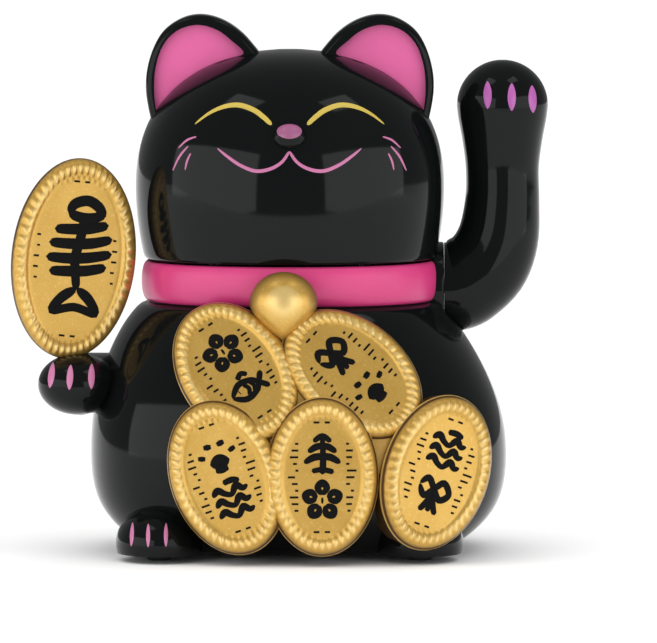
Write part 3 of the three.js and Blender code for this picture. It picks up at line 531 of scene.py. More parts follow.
def shut(obj):
    """Fills an object's open edges."""
    edit(obj, "EDGE")
    choose("edges", lambda e: e.is_boundary)
    bpy.ops.mesh.edge_face_add()
    done()
    return turned_out(obj, 0.00001)


def walled(obj, thickness=WALL):
    """Gives an open skin its thickness, inwards."""
    return modify(obj, "SOLIDIFY", thickness=thickness, offset=-1, use_even_offset=True, use_rim=True)


def between(points, steps):
    """Points on a smooth line through the given ones, each a tuple of any length."""
    out = []
    padded = [points[0], *points, points[-1]]
    for a, b, c, d in zip(padded, padded[1:], padded[2:], padded[3:]):
        for i in range(steps):
            t = i / steps
            out.append(tuple(
                0.5 * (2 * q + (r - p) * t + (2 * p - 5 * q + 4 * r - s) * t * t
                       + (3 * q - p - 3 * r + s) * t ** 3)
                for p, q, r, s in zip(a, b, c, d)
            ))
    out.append(tuple(points[-1]))
    return out


def drawn(name, points, fineness):
    """A round bar along a line whose points are (x, y, z, radius)."""
    bpy.ops.curve.primitive_nurbs_path_add()
    obj = bpy.context.object
    obj.name = name
    curve = obj.data
    curve.splines.clear()
    curve.dimensions = "3D"
    curve.bevel_depth = 1
    curve.bevel_resolution = fineness
    curve.use_fill_caps = True
    line = curve.splines.new("POLY")
    line.points.add(len(points) - 1)
    for point, (x, y, z, radius) in zip(line.points, points):
        point.co = (x, y, z, 1)
        point.radius = radius
    alone(obj)
    bpy.ops.object.convert(target="MESH")
    return turned_out(bpy.context.object)


def tapered(points, tip):
    """A brush stroke: its radius shrinks over a share of its length at each end."""
    lengths = [0.0]
    for a, b in zip(points, points[1:]):
        lengths.append(lengths[-1] + (Vector(b[:3]) - Vector(a[:3])).length)
    whole = lengths[-1]
    out = []
    for (x, y, z, radius), along in zip(points, lengths):
        share = 1
        for off_end in (along, whole - along):
            share *= math.sqrt(max(0.0, 1 - (1 - min(1, off_end / (tip * whole))) ** 2))
        out.append((x, y, z, max(radius * share, radius * 0.04)))
    return out


def laid_on(obj, ground, raised=0.02):
    """Lays a flat painted shape that stands in front of a form onto its surface."""
    for vertex in obj.data.vertices:
        x, y, z = vertex.co
        hit, place, _, _ = ground.ray_cast((x, -80, z), (0, 1, 0))
        if hit:
            vertex.co.y = place.y + y - raised
    return obj


# ------------ torso


def torso_size(z, axis):
    """The torso's half-width (axis 0) or half-depth (axis 1) at a height."""
    base, belly, shoulder = BASE_HALF[axis], BELLY_HALF[axis], SHOULDER_HALF[axis]
    if z < BELLY_Z:
        down = min(1, (BELLY_Z - z) / (BELLY_Z - FLOOR_GAP))
        return belly - (belly - base) * down ** TUCK_POWER
    up = min(1, (z - BELLY_Z) / (SHOULDER_Z - BELLY_Z))
    return shoulder + (belly - shoulder) * math.cos(math.pi / 2 * up) ** SLOPE_POWER


def belly_share(z):
    """1 at the belly and below it, 0 at the shoulder, and smooth between them."""
    t = min(1, max(0, (z - BELLY_Z) / (SHOULDER_Z - BELLY_Z)))
    return 1 - t * t * (3 - 2 * t)


def torso_flat(z):
    """The torso's depth over its width at a height."""
    return torso_size(z, 1) / torso_size(z, 0)


def torso_power(z):
    """The power of the torso's oval section, from the shoulder's to the belly's."""
    return ROUND_POWER + (BELLY_POWER - ROUND_POWER) * belly_share(z)


def belly_front_y(x, z):
    """Where the front of the torso's skin stands."""
    side = min(0.98, abs(x - BELLY_SIDE_SHIFT * belly_share(z)) / torso_size(z, 0))
    p = torso_power(z)
    return -torso_size(z, 1) * (1 - side ** p) ** (1 / p)


def torso_form(grown=0.0):
    """The torso's outside, closed, from its base to the top of its neck."""
    heights = [FLOOR_GAP, FLOOR_GAP + 0.4, 2.6, 4.4, 6.6, 9.2, 12.4, 16, 19.6, 23, 26, 29, 31.5, 33.8, 35.8]
    heights += [37.2, 38.6, SHOULDER_Z - 0.5, SHOULDER_Z]
    levels = [(z, torso_size(z, 0) + grown, torso_size(z, 1) + grown) for z in heights]
    levels[0] = (FLOOR_GAP, BASE_HALF[0] - 0.25 + grown, BASE_HALF[1] - 0.25 + grown)
    levels += [
        (SHOULDER_Z + 0.02, NECK_HALF_WIDTH + grown, NECK_HALF_WIDTH * NECK_FLAT + grown),
        (COLLAR_Z + COLLAR_HEIGHT, NECK_HALF_WIDTH + grown, NECK_HALF_WIDTH * NECK_FLAT + grown),
    ]
    form = lofted("torso_form", levels, 72)
    squared(form, torso_flat, torso_power, lambda z: BELLY_SIDE_SHIFT * belly_share(z))
    return form


def round_bar(name, radius, low, high, edge=0.0):
    """A bar about the shaft's line, whose ends may be bevelled."""
    bpy.ops.mesh.primitive_cylinder_add(vertices=64, radius=radius, depth=high - low)
    obj = began(name)
    if edge:
        edit(obj, "EDGE")
        choose("edges", lambda e: abs(e.verts[0].co.z - e.verts[1].co.z) < 1e-4)
        bpy.ops.mesh.bevel(offset=edge, segments=3, affect="EDGES")
        done()
    return moved(obj, Matrix.Translation(((low + high) / 2, SEAM_Y, SHAFT_Z)) @ rolled("Y", 90))


def bored(obj, radius, low):
    """Cuts a round hole about the shaft's line, from one level outwards."""
    return cut(obj, round_bar("drill", radius, low, FAR))


def slab(name, low, high, edge=0.0):
    """A box between two corners, whose edges may be bevelled."""
    bpy.ops.mesh.primitive_cube_add(size=1)
    obj = began(name)
    middle = [(a + b) / 2 for a, b in zip(low, high)]
    moved(obj, Matrix.Translation(middle) @ Matrix.Diagonal([b - a for a, b in zip(low, high)] + [1]))
    if edge:
        edit_all(obj, "EDGE")
        bpy.ops.mesh.bevel(offset=edge, segments=3, affect="EDGES")
        done()
    return obj


def opened(obj, gone):
    """Deletes the faces whose corners all stand at a height that passes a test."""
    edit(obj)
    choose("faces", lambda f: all(gone(v.co.z) for v in f.verts))
    bpy.ops.mesh.delete(type="FACE")
    return done()


FOOT = {"at": (20.6, 1 - BELLY_HALF[1] * 0.7, FLOOR_GAP + 1.6), "half": (6.9, 9, 6)}


def foot(side):
    """A rounded foot, flat below."""
    x, y, z = FOOT["at"]
    obj = stretched(unit_ball("foot"), (side * x, y, z), FOOT["half"])
    edit_all(obj)
    bpy.ops.mesh.bisect(plane_co=(0, 0, FLOOR_GAP), plane_no=(0, 0, 1), clear_inner=True, use_fill=True)
    done()
    return turned_out(obj)


def tail():
    """The tail, laid round the back of the base."""
    back = BELLY_HALF[1]
    line = between([
        (-11, back - 6, 5.5, 2.9), (-6, back - 3, 5.5, 3), (-2, back - 1, 5.5, 3), (3, back - 0.5, 5.6, 3),
        (8, back - 0.8, 6, 3), (12.5, back - 1.8, 7, 3), (15.5, back - 3.2, 8.7, 3),
        (17.5, back - 4.3, 11, 3), (18.5, back - 5, 13, 2.9),
    ], 5)
    tip = [(18.5 + 0.25 * s, back - 5 - 0.2 * s, 13 + s, 2.9 * math.sqrt(1 - (s / 2.95) ** 2))
           for s in (0.8, 1.5, 2.1, 2.5, 2.75, 2.9)]
    return drawn("tail", line + tip, 7)


WINDOW = {"z": BELLY_Z + 1, "y": BELLY_HALF[1] - 3.4, "wide": 22, "tall": 15}


def window_box(name, margin, from_y, to_y, edge=0.0):
    """A box about the window in the back, wider and taller than it by a margin."""
    z = WINDOW["z"]
    wide, tall = (WINDOW["wide"] + margin) / 2, (WINDOW["tall"] + margin) / 2
    return slab(name, (-wide, WINDOW["y"] + from_y, z - tall), (wide, to_y, z + tall), edge)


def torso_half(form, front):
    """Half of the torso's shell, with its half of the boss that the arm turns against."""
    shell = walled(halved(form, "torso_half", front))
    bored(shell, HUB_RADIUS + RUN_GAP, SHOULDER_FACE_X)
    bored(shell, SHAFT_RADIUS + SHAFT_CLEARANCE, 0)
    boss = round_bar("shoulder_boss", HUB_RADIUS, BOSS_INNER_X, SHOULDER_FACE_X, edge=0.3)
    bored(boss, SHAFT_RADIUS + SHAFT_CLEARANCE, 0)
    half_boss = shut(halved(boss, "half_boss", front))
    thrown_away(boss)
    return [shell, half_boss]


def torso_pieces():
    """The two torso mouldings: feet in front, window seat and tail behind."""
    neck_top = COLLAR_Z + COLLAR_HEIGHT
    form = opened(torso_form(), lambda z: z < FLOOR_GAP + 0.1 or z > neck_top - 0.1)
    subdivided(form)
    front, rear = torso_half(form, True), torso_half(form, False)
    thrown_away(form)
    cut(rear[0], window_box("window_pocket", 2 * FIT, 0, FAR, edge=0.5))
    seat = window_box("window_seat", 3.6, -WALL, WINDOW["y"])
    cut(seat, window_box("cell_hole", -2.5, -9, FAR))
    for end, parts in {"front": [*front, foot(-1), foot(1)], "rear": [*rear, seat, tail()]}.items():
        whole = painted(joined(f"torso_{end}_moulding", parts), "black")
        finished(whole, "body", [f"body_{end}_shell"])


# ------------ collar


def collar_piece():
    """The pink band: its section is the same above its middle as below it."""
    inner, outer = NECK_HALF_WIDTH + FIT, COLLAR_HALF_WIDTH
    low, high = COLLAR_Z, COLLAR_Z + COLLAR_HEIGHT
    side = [(0, inner), (0, outer - 1), (0.25, outer - 0.55), (1.1, outer - 0.2)]
    side += [(COLLAR_HEIGHT / 2 - 1, outer)]
    section = [(low + rise, half) for rise, half in side]
    section += [(high - rise, half) for rise, half in side[::-1]]
    band = lofted("collar_band_pink", [(z, half, half * NECK_FLAT) for z, half in section], 96)
    edit(band)
    choose("faces", lambda f: len(f.verts) > 8)
    bpy.ops.mesh.bridge_edge_loops()
    done()
    turned_out(band)
    squared(band, lambda z: NECK_FLAT, lambda z: ROUND_POWER)
    bored(subdivided(band), HUB_RADIUS + FIT, 0)
    finished(painted(band, "collar"), "body", ["collar_band"])


# ------------ head


def head_half(z):
    """The head's half-width at a height."""
    if z < HEAD_WIDEST_Z:
        down = (HEAD_WIDEST_Z - z) / (HEAD_WIDEST_Z - CHIN_Z)
        return HEAD_HALF[0] - (HEAD_HALF[0] - CHIN_HALF_WIDTH) * down ** 2
    up = min(1, (z - HEAD_WIDEST_Z) / HEAD_CROWN_RISE)
    return HEAD_HALF[0] * (1 - up ** CROWN_POWER) ** (1 / CROWN_POWER)


HEAD_FLAT = HEAD_HALF[1] / HEAD_HALF[0]


def head_form():
    """The head's outside without its ears, closed."""
    heights = [CHIN_Z, CHIN_Z + 0.3, CHIN_Z + 1.5, CHIN_Z + 4, CHIN_Z + 7, CHIN_Z + 10]
    heights += [HEAD_WIDEST_Z + HEAD_CROWN_RISE * math.sin(math.radians(a)) for a in range(3, 88, 6)]
    levels = [(z, head_half(z), head_half(z) * HEAD_FLAT) for z in heights]
    levels[0] = (CHIN_Z, CHIN_HALF_WIDTH - 0.3, (CHIN_HALF_WIDTH - 0.3) * HEAD_FLAT)
    crown = HEAD_WIDEST_Z + HEAD_CROWN_RISE
    levels += [(crown - 0.015, 2.4, 2.4 * HEAD_FLAT), (crown, 0.8, 0.8 * HEAD_FLAT)]
    return squared(lofted("head_form", levels, 72), lambda z: HEAD_FLAT, lambda z: ROUND_POWER)


# The ear on the +X side, as (x, height over the head's widest level)
EAR_OUTLINE = [
    (21.5, 8), (22.9, 15), (22.5, 20), (20.6, 24.4), (17.6, 26.8), (14.3, 27.6), (10.8, 26.8), (7.5, 24.6),
    (4.4, 21),
]
EAR_HOLLOW = [
    (21.2, 11.6), (21.6, 15), (21.4, 19), (20.2, 22.7), (17.9, 25.1), (14.7, 26.0), (11.6, 25.2), (9.3, 23.5),
    (7.4, 21.4), (11.2, 20.1), (14.9, 18.1), (18.6, 15.2), (20.6, 12.9), (21.2, 11.6),
]
# The outline's last corner, which the head hides
EAR_ROOT = (9, 9)
EAR_THICKNESS = 6.5
EAR_FRONT_Y = -EAR_THICKNESS / 2 - 0.75
EAR_HOLLOW_DEPTH = 1.2


def traced(name, points, front, back):
    """A plate parallel to the XZ plane, traced corner by corner and drawn out to its thickness."""
    bpy.ops.mesh.primitive_plane_add(size=1)
    obj = began(name)
    edit_all(obj, "VERT")
    bpy.ops.mesh.merge(type="CENTER")
    bpy.ops.transform.translate(value=(points[0][0], back, points[0][1]))
    for (x0, z0), (x1, z1) in zip(points, points[1:]):
        bpy.ops.mesh.extrude_vertices_move(TRANSFORM_OT_translate={"value": (x1 - x0, 0, z1 - z0)})
    bpy.ops.mesh.select_all(action="SELECT")
    bpy.ops.mesh.remove_doubles(threshold=0.001)
    bpy.ops.mesh.edge_face_add()
    bpy.ops.mesh.select_all(action="SELECT")
    bpy.ops.mesh.extrude_region_move(TRANSFORM_OT_translate={"value": (0, front - back, 0)})
    done()
    return turned_out(obj)


def ear():
    """The +X ear: a rounded plate with a pink hollow sunk in its front."""
    outline = [(x, z + HEAD_WIDEST_Z) for x, z in between(EAR_OUTLINE, 6) + [EAR_ROOT]]
    obj = traced("ear", outline, EAR_FRONT_Y, EAR_FRONT_Y + EAR_THICKNESS)
    edit(obj, "EDGE")

    def outer(edge):
        root_x, root_z = EAR_ROOT
        flat = abs(edge.verts[0].co.y - edge.verts[1].co.y) < 0.01
        rooted = any(math.hypot(v.co.x - root_x, v.co.z - HEAD_WIDEST_Z - root_z) < 1 for v in edge.verts)
        return flat and not rooted and len(edge.link_faces) == 2

    choose("edges", outer)
    bpy.ops.mesh.bevel(offset=1.0, segments=6, affect="EDGES", clamp_overlap=True)
    done()
    hollow = [(x, z + HEAD_WIDEST_Z) for x, z in between(EAR_HOLLOW, 5)]
    floor_y = EAR_FRONT_Y + EAR_HOLLOW_DEPTH
    cut(obj, traced("ear_hollow", hollow, EAR_FRONT_Y - 3, floor_y))
    painted(obj, "black", "ear")
    for face in obj.data.polygons:
        if abs(face.center.y - floor_y) < 0.05 and face.normal.y < -0.9:
            face.material_index = 1
    return obj


def face_strokes():
    """The painted face, as lines of (x, z, half-width) in front of the head."""
    eye = [(-15.0, 10.7, 0.1), (-12.8, 12.4, 0.22), (-10.4, 13.5, 0.32), (-8, 13.8, 0.38), (-5.7, 13.1, 0.4),
           (-4.1, 12.0, 0.38), (-2.8, 10.8, 0.32)]
    smile = [(0, 6.7, 0.2), (-1.2, 5.0, 0.24), (-3.1, 3.9, 0.27), (-5.4, 3.6, 0.28), (-7.8, 4.5, 0.26),
             (-9.9, 5.9, 0.22), (-11.4, 7.1, 0.1)]
    whiskers = [
        [(-14.7, 8.8, 0.1), (-16.2, 8.2, 0.16), (-17.6, 6.9, 0.08)],
        [(-16.0, 7.3, 0.1), (-17.4, 5.6, 0.17), (-18.5, 3.3, 0.08)],
        [(-15.6, 6.2, 0.1), (-16.2, 4.9, 0.16), (-16.5, 3.5, 0.08)],
    ]
    for side in (-1, 1):
        for line, paint in [(eye, "eye"), (smile, "smile"), *((w, "smile") for w in whiskers)]:
            yield paint, [(-side * x, z + HEAD_WIDEST_Z, w) for x, z, w in line]


def head_pieces():
    """The painted face, the two head mouldings with their ears, and the nose."""
    form = head_form()
    ground = subdivided(copied(form, "head_ground"))
    strokes = {"eye": [], "smile": []}
    for paint, line in face_strokes():
        smooth = between([(x, 0, z, w) for x, z, w in line], 8)
        stroke = drawn("stroke", tapered(smooth, 0.05), 2)
        moved(stroke, Matrix.Diagonal((1, PAINT_FLATNESS, 1, 1)))
        strokes[paint].append(painted(laid_on(stroke, ground), paint))
    finished(joined("painted_eyes", strokes["eye"]), "body", angle=60)
    finished(joined("painted_smile_and_whiskers", strokes["smile"]), "body", angle=60)

    subdivided(opened(form, lambda z: z < CHIN_Z + 0.1))
    for end in ("front", "rear"):
        shell = walled(halved(form, f"head_{end}", end == "front"))
        parts = [painted(bored(shell, HUB_RADIUS + FIT, 0), "black")]
        if end == "front":
            first = ear()
            second = moved(copied(first, "other_ear"), Matrix.Diagonal((-1, 1, 1, 1)))
            parts += [turned_out(first), turned_out(second)]
        whole = joined(f"head_{end}_moulding", parts)
        finished(whole, "body", [f"head_{end}_shell"])
    nose_piece()
    thrown_away(form, ground)


def nose_piece():
    """A small raised nose: a black muzzle with a pink cap, whose rings run round the cap."""
    obj = painted(unit_ball("nose", 40), "nose", "black")
    cap_z = math.cos(math.radians(50))
    for face in obj.data.polygons:
        face.material_index = 0 if face.center.z > cap_z else 1
    edit(obj, "VERT")
    choose("verts", lambda v: v.co.z > cap_z)
    bpy.ops.transform.translate(value=(0, 0, 0.06))
    done()
    z = HEAD_WIDEST_Z + 8.9
    front = -head_half(z) * HEAD_FLAT
    stretched(moved(obj, rolled("X", 48)), (0, front + 0.3, z), (2.6, 1.8, 2.0))
    finished(obj, "body")


# ------------ coins

COINS = {
    "upper_left": {"x": -8.5, "z": SHOULDER_Z - 9, "roll": -35, "lean": 20, "turn": -6, "over": 0},
    "upper_right": {"x": 10.1, "z": SHOULDER_Z - 9.3, "roll": -47, "lean": 20, "turn": 8, "over": 0.1},
    "lower_left": {"x": -10.1, "z": COIN_HALF[1] + 1.7, "roll": -20, "lean": 2, "turn": -7, "over": 1},
    "lower_middle": {"x": 5.2, "z": COIN_HALF[1] + 1.9, "roll": 0, "lean": 2, "turn": 2, "over": 1.6},
    "lower_right": {"x": 23.7, "z": COIN_HALF[1] + 2.3, "roll": 20, "lean": 2, "turn": 20, "over": 2.2},
}
FIELD_DEPTH = 0.5
INK_Z = -FIELD_DEPTH + 0.03
DASH_ROWS = 7
DASH_LENGTHS = (1.3, 0.45, 0.9, 1.5, 0.6, 1.1, 0.5)


def coin_matrix(roll, lean, turn, at):
    """Stands a coin up facing -Y, rolls it in its plane, leans it back and turns it sideways."""
    turns = rolled("Z", turn) @ rolled("X", -lean) @ rolled("Y", roll)
    return Matrix.Translation(at) @ turns @ rolled("X", 90)


def belly_coin_matrix(coin):
    """A coin's place: its own distance over the belly's skin, with less curve at the sides."""
    skin = belly_front_y(max(-SIDE_REACH, min(SIDE_REACH, coin["x"])), coin["z"])
    side = max(0, abs(coin["x"]) - SIDE_REACH)
    at = (coin["x"], skin - COIN_PROUD - coin["over"] + side * 0.3, coin["z"])
    return coin_matrix(coin["roll"], coin["lean"], coin["turn"], at)


def gilt_with_painted_light(obj, painted_light_at):
    """Gives a gilt piece its painted light at each point: below 0 is a painted highlight, 1 is full brown
    painted shade.
    """
    shade_and_highlight = obj.data.attributes.new("shade_and_highlight", "FLOAT", "POINT")
    for vertex in obj.data.vertices:
        shade_and_highlight.data[vertex.index].value = painted_light_at(vertex.co)
    return painted(obj, "gold")


def coin_form(name, half, skirt, ridges, back=False):
    """An oval coin facing +Z: a flat field, a ring of short ridges, a bevel and a fine outer line."""
    wide, tall = half
    # (distance in from the rim, height), from the back to the field
    section = [(0.5 if back else 0, -skirt), (0.05, -skirt + 0.4)]
    if back:
        section += [(0.02, -2.0), (0, -1.6)]
    else:
        section += [(0, -2.3), (-0.2, -2.18), (-0.28, -1.98), (-0.2, -1.78)]
    section += [
        (0.04, -1.5), (0.14, -1.1), (0.36, -0.66), (0.7, -0.3), (1.1, -0.08), (1.5, 0), (1.9, -0.06),
        (2.25, -0.24), (2.5, -FIELD_DEPTH + 0.06), (2.75, -FIELD_DEPTH), (3.4, -FIELD_DEPTH),
    ]
    levels = [(z, wide - w, tall - w) for w, z in section]
    coin = lofted(name, levels, ridges * 4)
    for vertex in coin.data.vertices:
        x, y, z = vertex.co
        angle = math.atan2(y / tall, x / wide) / (2 * math.pi) * ridges
        reach = math.hypot(x / wide, y / tall)
        w = (1 - reach) * (wide + tall) / 2
        if -1.2 < z <= 0.01 and 0.1 < w < 2.45:  # on the ridged ring
            valley = (0.5 + 0.5 * math.cos(2 * math.pi * angle)) * math.sin(math.pi * (w - 0.1) / 2.35) ** 0.6
            vertex.co.z -= 0.36 * valley
    edit(coin)
    choose("faces", lambda f: len(f.verts) > 8)
    bpy.ops.mesh.delete(type="FACE")
    done()
    shut(subdivided(coin))

    # Painted light on the coin: brown painted shade towards the rim, over the outer wall and down in the
    # ridge valleys, less of it at the edge of a coin's back, and a painted highlight on the ridge crests and
    # the fine outer line.
    def painted_light_at(place):
        x, y, z = place
        w = (1 - math.hypot(x / wide, y / tall)) * (wide + tall) / 2
        value = max(0.0, 0.6 - 0.75 * w) if z > -1.3 else 1.0
        if 0.5 < w < 2.4:
            value += 0.8 * max(0.0, -z - 0.1) - 0.22
        if w < -0.1:
            value = -0.15
        if back and z < -skirt + 0.3:
            value = 0.3
        return min(1.0, value)

    return gilt_with_painted_light(coin, painted_light_at)


# Marks: strokes of (x, y, half-width) within a square of half-size 1, in the coin's plane
MARKS = {
    "paw": [
        [(-0.35, -0.5, 0.2), (-0.1, -0.25, 0.26), (0.12, -0.25, 0.26), (0.38, -0.5, 0.2)],
        [(-0.3, -0.55, 0.18), (0, -0.62, 0.2), (0.3, -0.55, 0.18)],
        [(-0.78, -0.02, 0.15), (-0.7, 0.22, 0.17)],
        [(-0.34, 0.38, 0.16), (-0.3, 0.66, 0.17)],
        [(0.3, 0.66, 0.17), (0.34, 0.38, 0.16)],
        [(0.7, 0.22, 0.17), (0.78, -0.02, 0.15)],
    ],
    "fish": [
        [(-0.85, 0, 0.1), (-0.3, 0.4, 0.14), (0.3, 0.3, 0.13), (0.6, 0, 0.12), (0.95, -0.45, 0.14)],
        [(-0.85, 0, 0.1), (-0.3, -0.4, 0.14), (0.3, -0.3, 0.13), (0.6, 0, 0.12), (0.95, 0.45, 0.14)],
        [(-0.45, 0.05, 0.1), (-0.4, 0.06, 0.1)],
        [(-0.1, 0.3, 0.09), (0.05, 0, 0.1), (-0.1, -0.3, 0.09)],
        [(0.2, 0.26, 0.08), (0.32, 0, 0.09), (0.2, -0.26, 0.08)],
        [(-0.2, 0.62, 0.12), (0.1, 0.8, 0.12), (0.35, 0.6, 0.1)],
    ],
    "blossom": [
        *[[
            (0.26 * math.cos(a), 0.26 * math.sin(a), 0.1),
            (0.62 * math.cos(a - 0.34), 0.62 * math.sin(a - 0.34), 0.15),
            (0.82 * math.cos(a), 0.82 * math.sin(a), 0.16),
            (0.62 * math.cos(a + 0.34), 0.62 * math.sin(a + 0.34), 0.15),
            (0.26 * math.cos(a), 0.26 * math.sin(a), 0.1),
        ] for a in (math.radians(90 + 72 * i) for i in range(5))],
        [(-0.06, 0, 0.13), (0.06, 0, 0.13)],
    ],
    "waves": [
        *[[(-0.85, y, 0.11), (-0.55, y + 0.24, 0.16), (-0.25, y, 0.13), (0.05, y - 0.1, 0.12),
           (0.35, y + 0.22, 0.16), (0.62, y, 0.13), (0.88, y + 0.1, 0.1)] for y in (-0.66, -0.14, 0.38)],
        [(-0.2, 0.86, 0.12), (0.25, 0.9, 0.14), (0.6, 0.78, 0.1)],
    ],
    "pine": [
        [(0, -0.95, 0.15), (0.04, -0.3, 0.14), (0, 0.9, 0.1)],
        [(-0.85, -0.42, 0.11), (-0.4, -0.16, 0.16), (0, -0.12, 0.15), (0.4, -0.16, 0.16),
         (0.85, -0.42, 0.11)],
        [(-0.66, 0.08, 0.11), (-0.3, 0.32, 0.15), (0, 0.36, 0.14), (0.3, 0.32, 0.15), (0.66, 0.08, 0.11)],
        [(-0.42, 0.56, 0.1), (0, 0.82, 0.14), (0.42, 0.56, 0.1)],
        [(-0.5, -0.8, 0.11), (0, -0.72, 0.12), (0.55, -0.84, 0.12)],
    ],
    "knot": [
        [(-0.75, 0.35, 0.13), (-0.4, 0.72, 0.15), (0, 0.3, 0.14), (0.4, -0.12, 0.15), (0.78, 0.25, 0.14),
         (0.4, 0.7, 0.15), (0, 0.3, 0.14), (-0.4, -0.12, 0.15), (-0.75, 0.35, 0.13)],
        [(0, 0.25, 0.13), (-0.12, -0.3, 0.15), (-0.42, -0.85, 0.12)],
        [(0, 0.25, 0.13), (0.12, -0.3, 0.15), (0.42, -0.85, 0.12)],
        [(0, -0.4, 0.1), (0, -0.8, 0.12)],
    ],
}
# Each coin's upper and lower mark
COIN_MARKS = {
    "upper_left": ("blossom", "fish"),
    "upper_right": ("knot", "paw"),
    "lower_left": ("paw", "waves"),
    "lower_middle": ("pine", "blossom"),
    "lower_right": ("waves", "knot"),
}


def inked(strokes, centre, size, weight):
    """Brush strokes on a coin's field."""
    made = []
    for stroke in strokes:
        line = [(centre[0] + x * size, centre[1] + y * size, 0, w * size * weight) for x, y, w in stroke]
        bar = drawn("mark", tapered(between(line, 5), 0.1), 1)
        made.append(stretched(bar, (0, 0, INK_Z), (1, 1, 0.14)))
    return made


def dashes(half, mark_half, pitch):
    """Rows of short dashes at both sides of the marks, and above and below them."""
    wide, tall = half[0] - 3.3, half[1] - 3.1
    bpy.ops.mesh.primitive_cube_add(size=1)
    unit = began("dash")
    edit_all(unit, "VERT")
    bpy.ops.transform.resize(value=(1, 0.32, 0.06), center_override=(0, 0, 0))
    done()
    inner = mark_half + 0.35
    made = []
    for row in range(-DASH_ROWS, DASH_ROWS + 1):
        y = row * pitch
        room = wide * math.sqrt(max(0, 1 - (y / tall) ** 2)) - inner
        if room < 0.4:
            continue
        for side in (-1, 1):
            length = min(DASH_LENGTHS[(row * 3 + side + 20) % len(DASH_LENGTHS)], room)
            middle = room * (0.35 + 0.3 * ((row * 7 + side) % 3 - 1))
            middle = min(max(middle, length / 2), room - length / 2)
            made.append((side * (inner + middle), y, length))
    for y in (-1, 1):
        made += [(-0.9, y * (tall - 0.6), 0.9), (0.8, y * (tall - 0.6), 0.8)]
    bars = [stretched(copied(unit, "dash"), (x, y, INK_Z), (length, 1, 1)) for x, y, length in made]
    thrown_away(unit)
    return bars


def bell():
    """The round bell under the collar, drawn to a soft point between the upper coins."""
    obj = unit_ball("bell", 40)
    centre = Vector((-0.9, belly_front_y(0, SHOULDER_Z) - 2.7, SHOULDER_Z + 1))
    for vertex in obj.data.vertices:
        z = vertex.co.z
        if z < 0:
            round_half = math.sqrt(max(1e-6, 1 - z * z))
            vertex.co.x *= (1 - (-z) ** 1.5) / round_half
            vertex.co.z *= 1.2
    stretched(obj, centre, (5.4, 4.3, 5.1))

    # Painted light on the bell: brown painted shade towards its outline, stronger above than below, and a
    # painted highlight just above its middle.
    def painted_light_at(place):
        off = (place - centre) / 5.1
        rim = max(0, min(1, (math.hypot(off.x, off.z) - 0.6) * 1.7))
        glint = 0.35 * math.exp(-((off.x ** 2 + (off.z - 0.15) ** 2) * 5))
        return rim * (0.95 if off.z > -0.2 else 0.5) - glint

    return gilt_with_painted_light(obj, painted_light_at)


def web():
    """The gilt ground between the coins, which follows the belly."""
    ground = torso_form(1.5)
    edit(ground)
    outer_coins = [COINS[name] for name in ("upper_left", "upper_right", "lower_right", "lower_left")]
    corners = [(coin["x"], coin["z"]) for coin in outer_coins]
    middle = Vector((6, 0, 21))
    for (x0, z0), (x1, z1) in zip(corners, corners[1:] + corners[:1]):
        normal = Vector((z1 - z0, 0, x0 - x1)).normalized()
        if normal.dot(middle - Vector((x0, 0, z0))) > 0:
            normal = -normal
        bpy.ops.mesh.select_all(action="SELECT")
        bpy.ops.mesh.bisect(plane_co=(x0, 0, z0), plane_no=normal, clear_outer=True)
    bpy.ops.mesh.select_all(action="SELECT")
    bpy.ops.mesh.bisect(plane_co=(0, -5, 0), plane_no=(0, 1, 0), clear_outer=True)
    done()
    # The whole web takes an even, partial painted shade, lying as it does between and behind the coins.
    return gilt_with_painted_light(walled(subdivided(ground, 2), 1.2), lambda place: 0.45)


def plaque_pieces():
    """The gilt plaque of five coins, web and bell, and the ink on its coins."""
    unit = coin_form("belly_coin", COIN_HALF, COIN_SKIRT, 46)
    gilt = [bell(), web()]
    ink = []
    mark_half = 3.4
    for name, coin in COINS.items():
        place = belly_coin_matrix(coin)
        gilt.append(moved(copied(unit, f"coin_{name}"), place))
        marks = []
        for mark, y in zip(COIN_MARKS[name], (3.65, -3.65)):
            marks += inked(MARKS[mark], (0, y), mark_half, 1.08)
        marks += dashes(COIN_HALF, mark_half, 1.05)
        ink += [moved(mark, place) for mark in marks]
    thrown_away(unit)
    finished(joined("coin_plaque_gilt", gilt), "body", ["coin_plaque"])
    finished(painted(joined("coin_plaque_marks", ink), "ink"), "body", angle=60)


# ------------ coin arm and held coin

COIN_ARM_Z = 27.2
ARM_PEG_Y = -3


def torso_side_x(z):
    """Where the torso's side stands, on the coin arm's side."""
    return BELLY_SIDE_SHIFT * belly_share(z) - torso_size(z, 0)


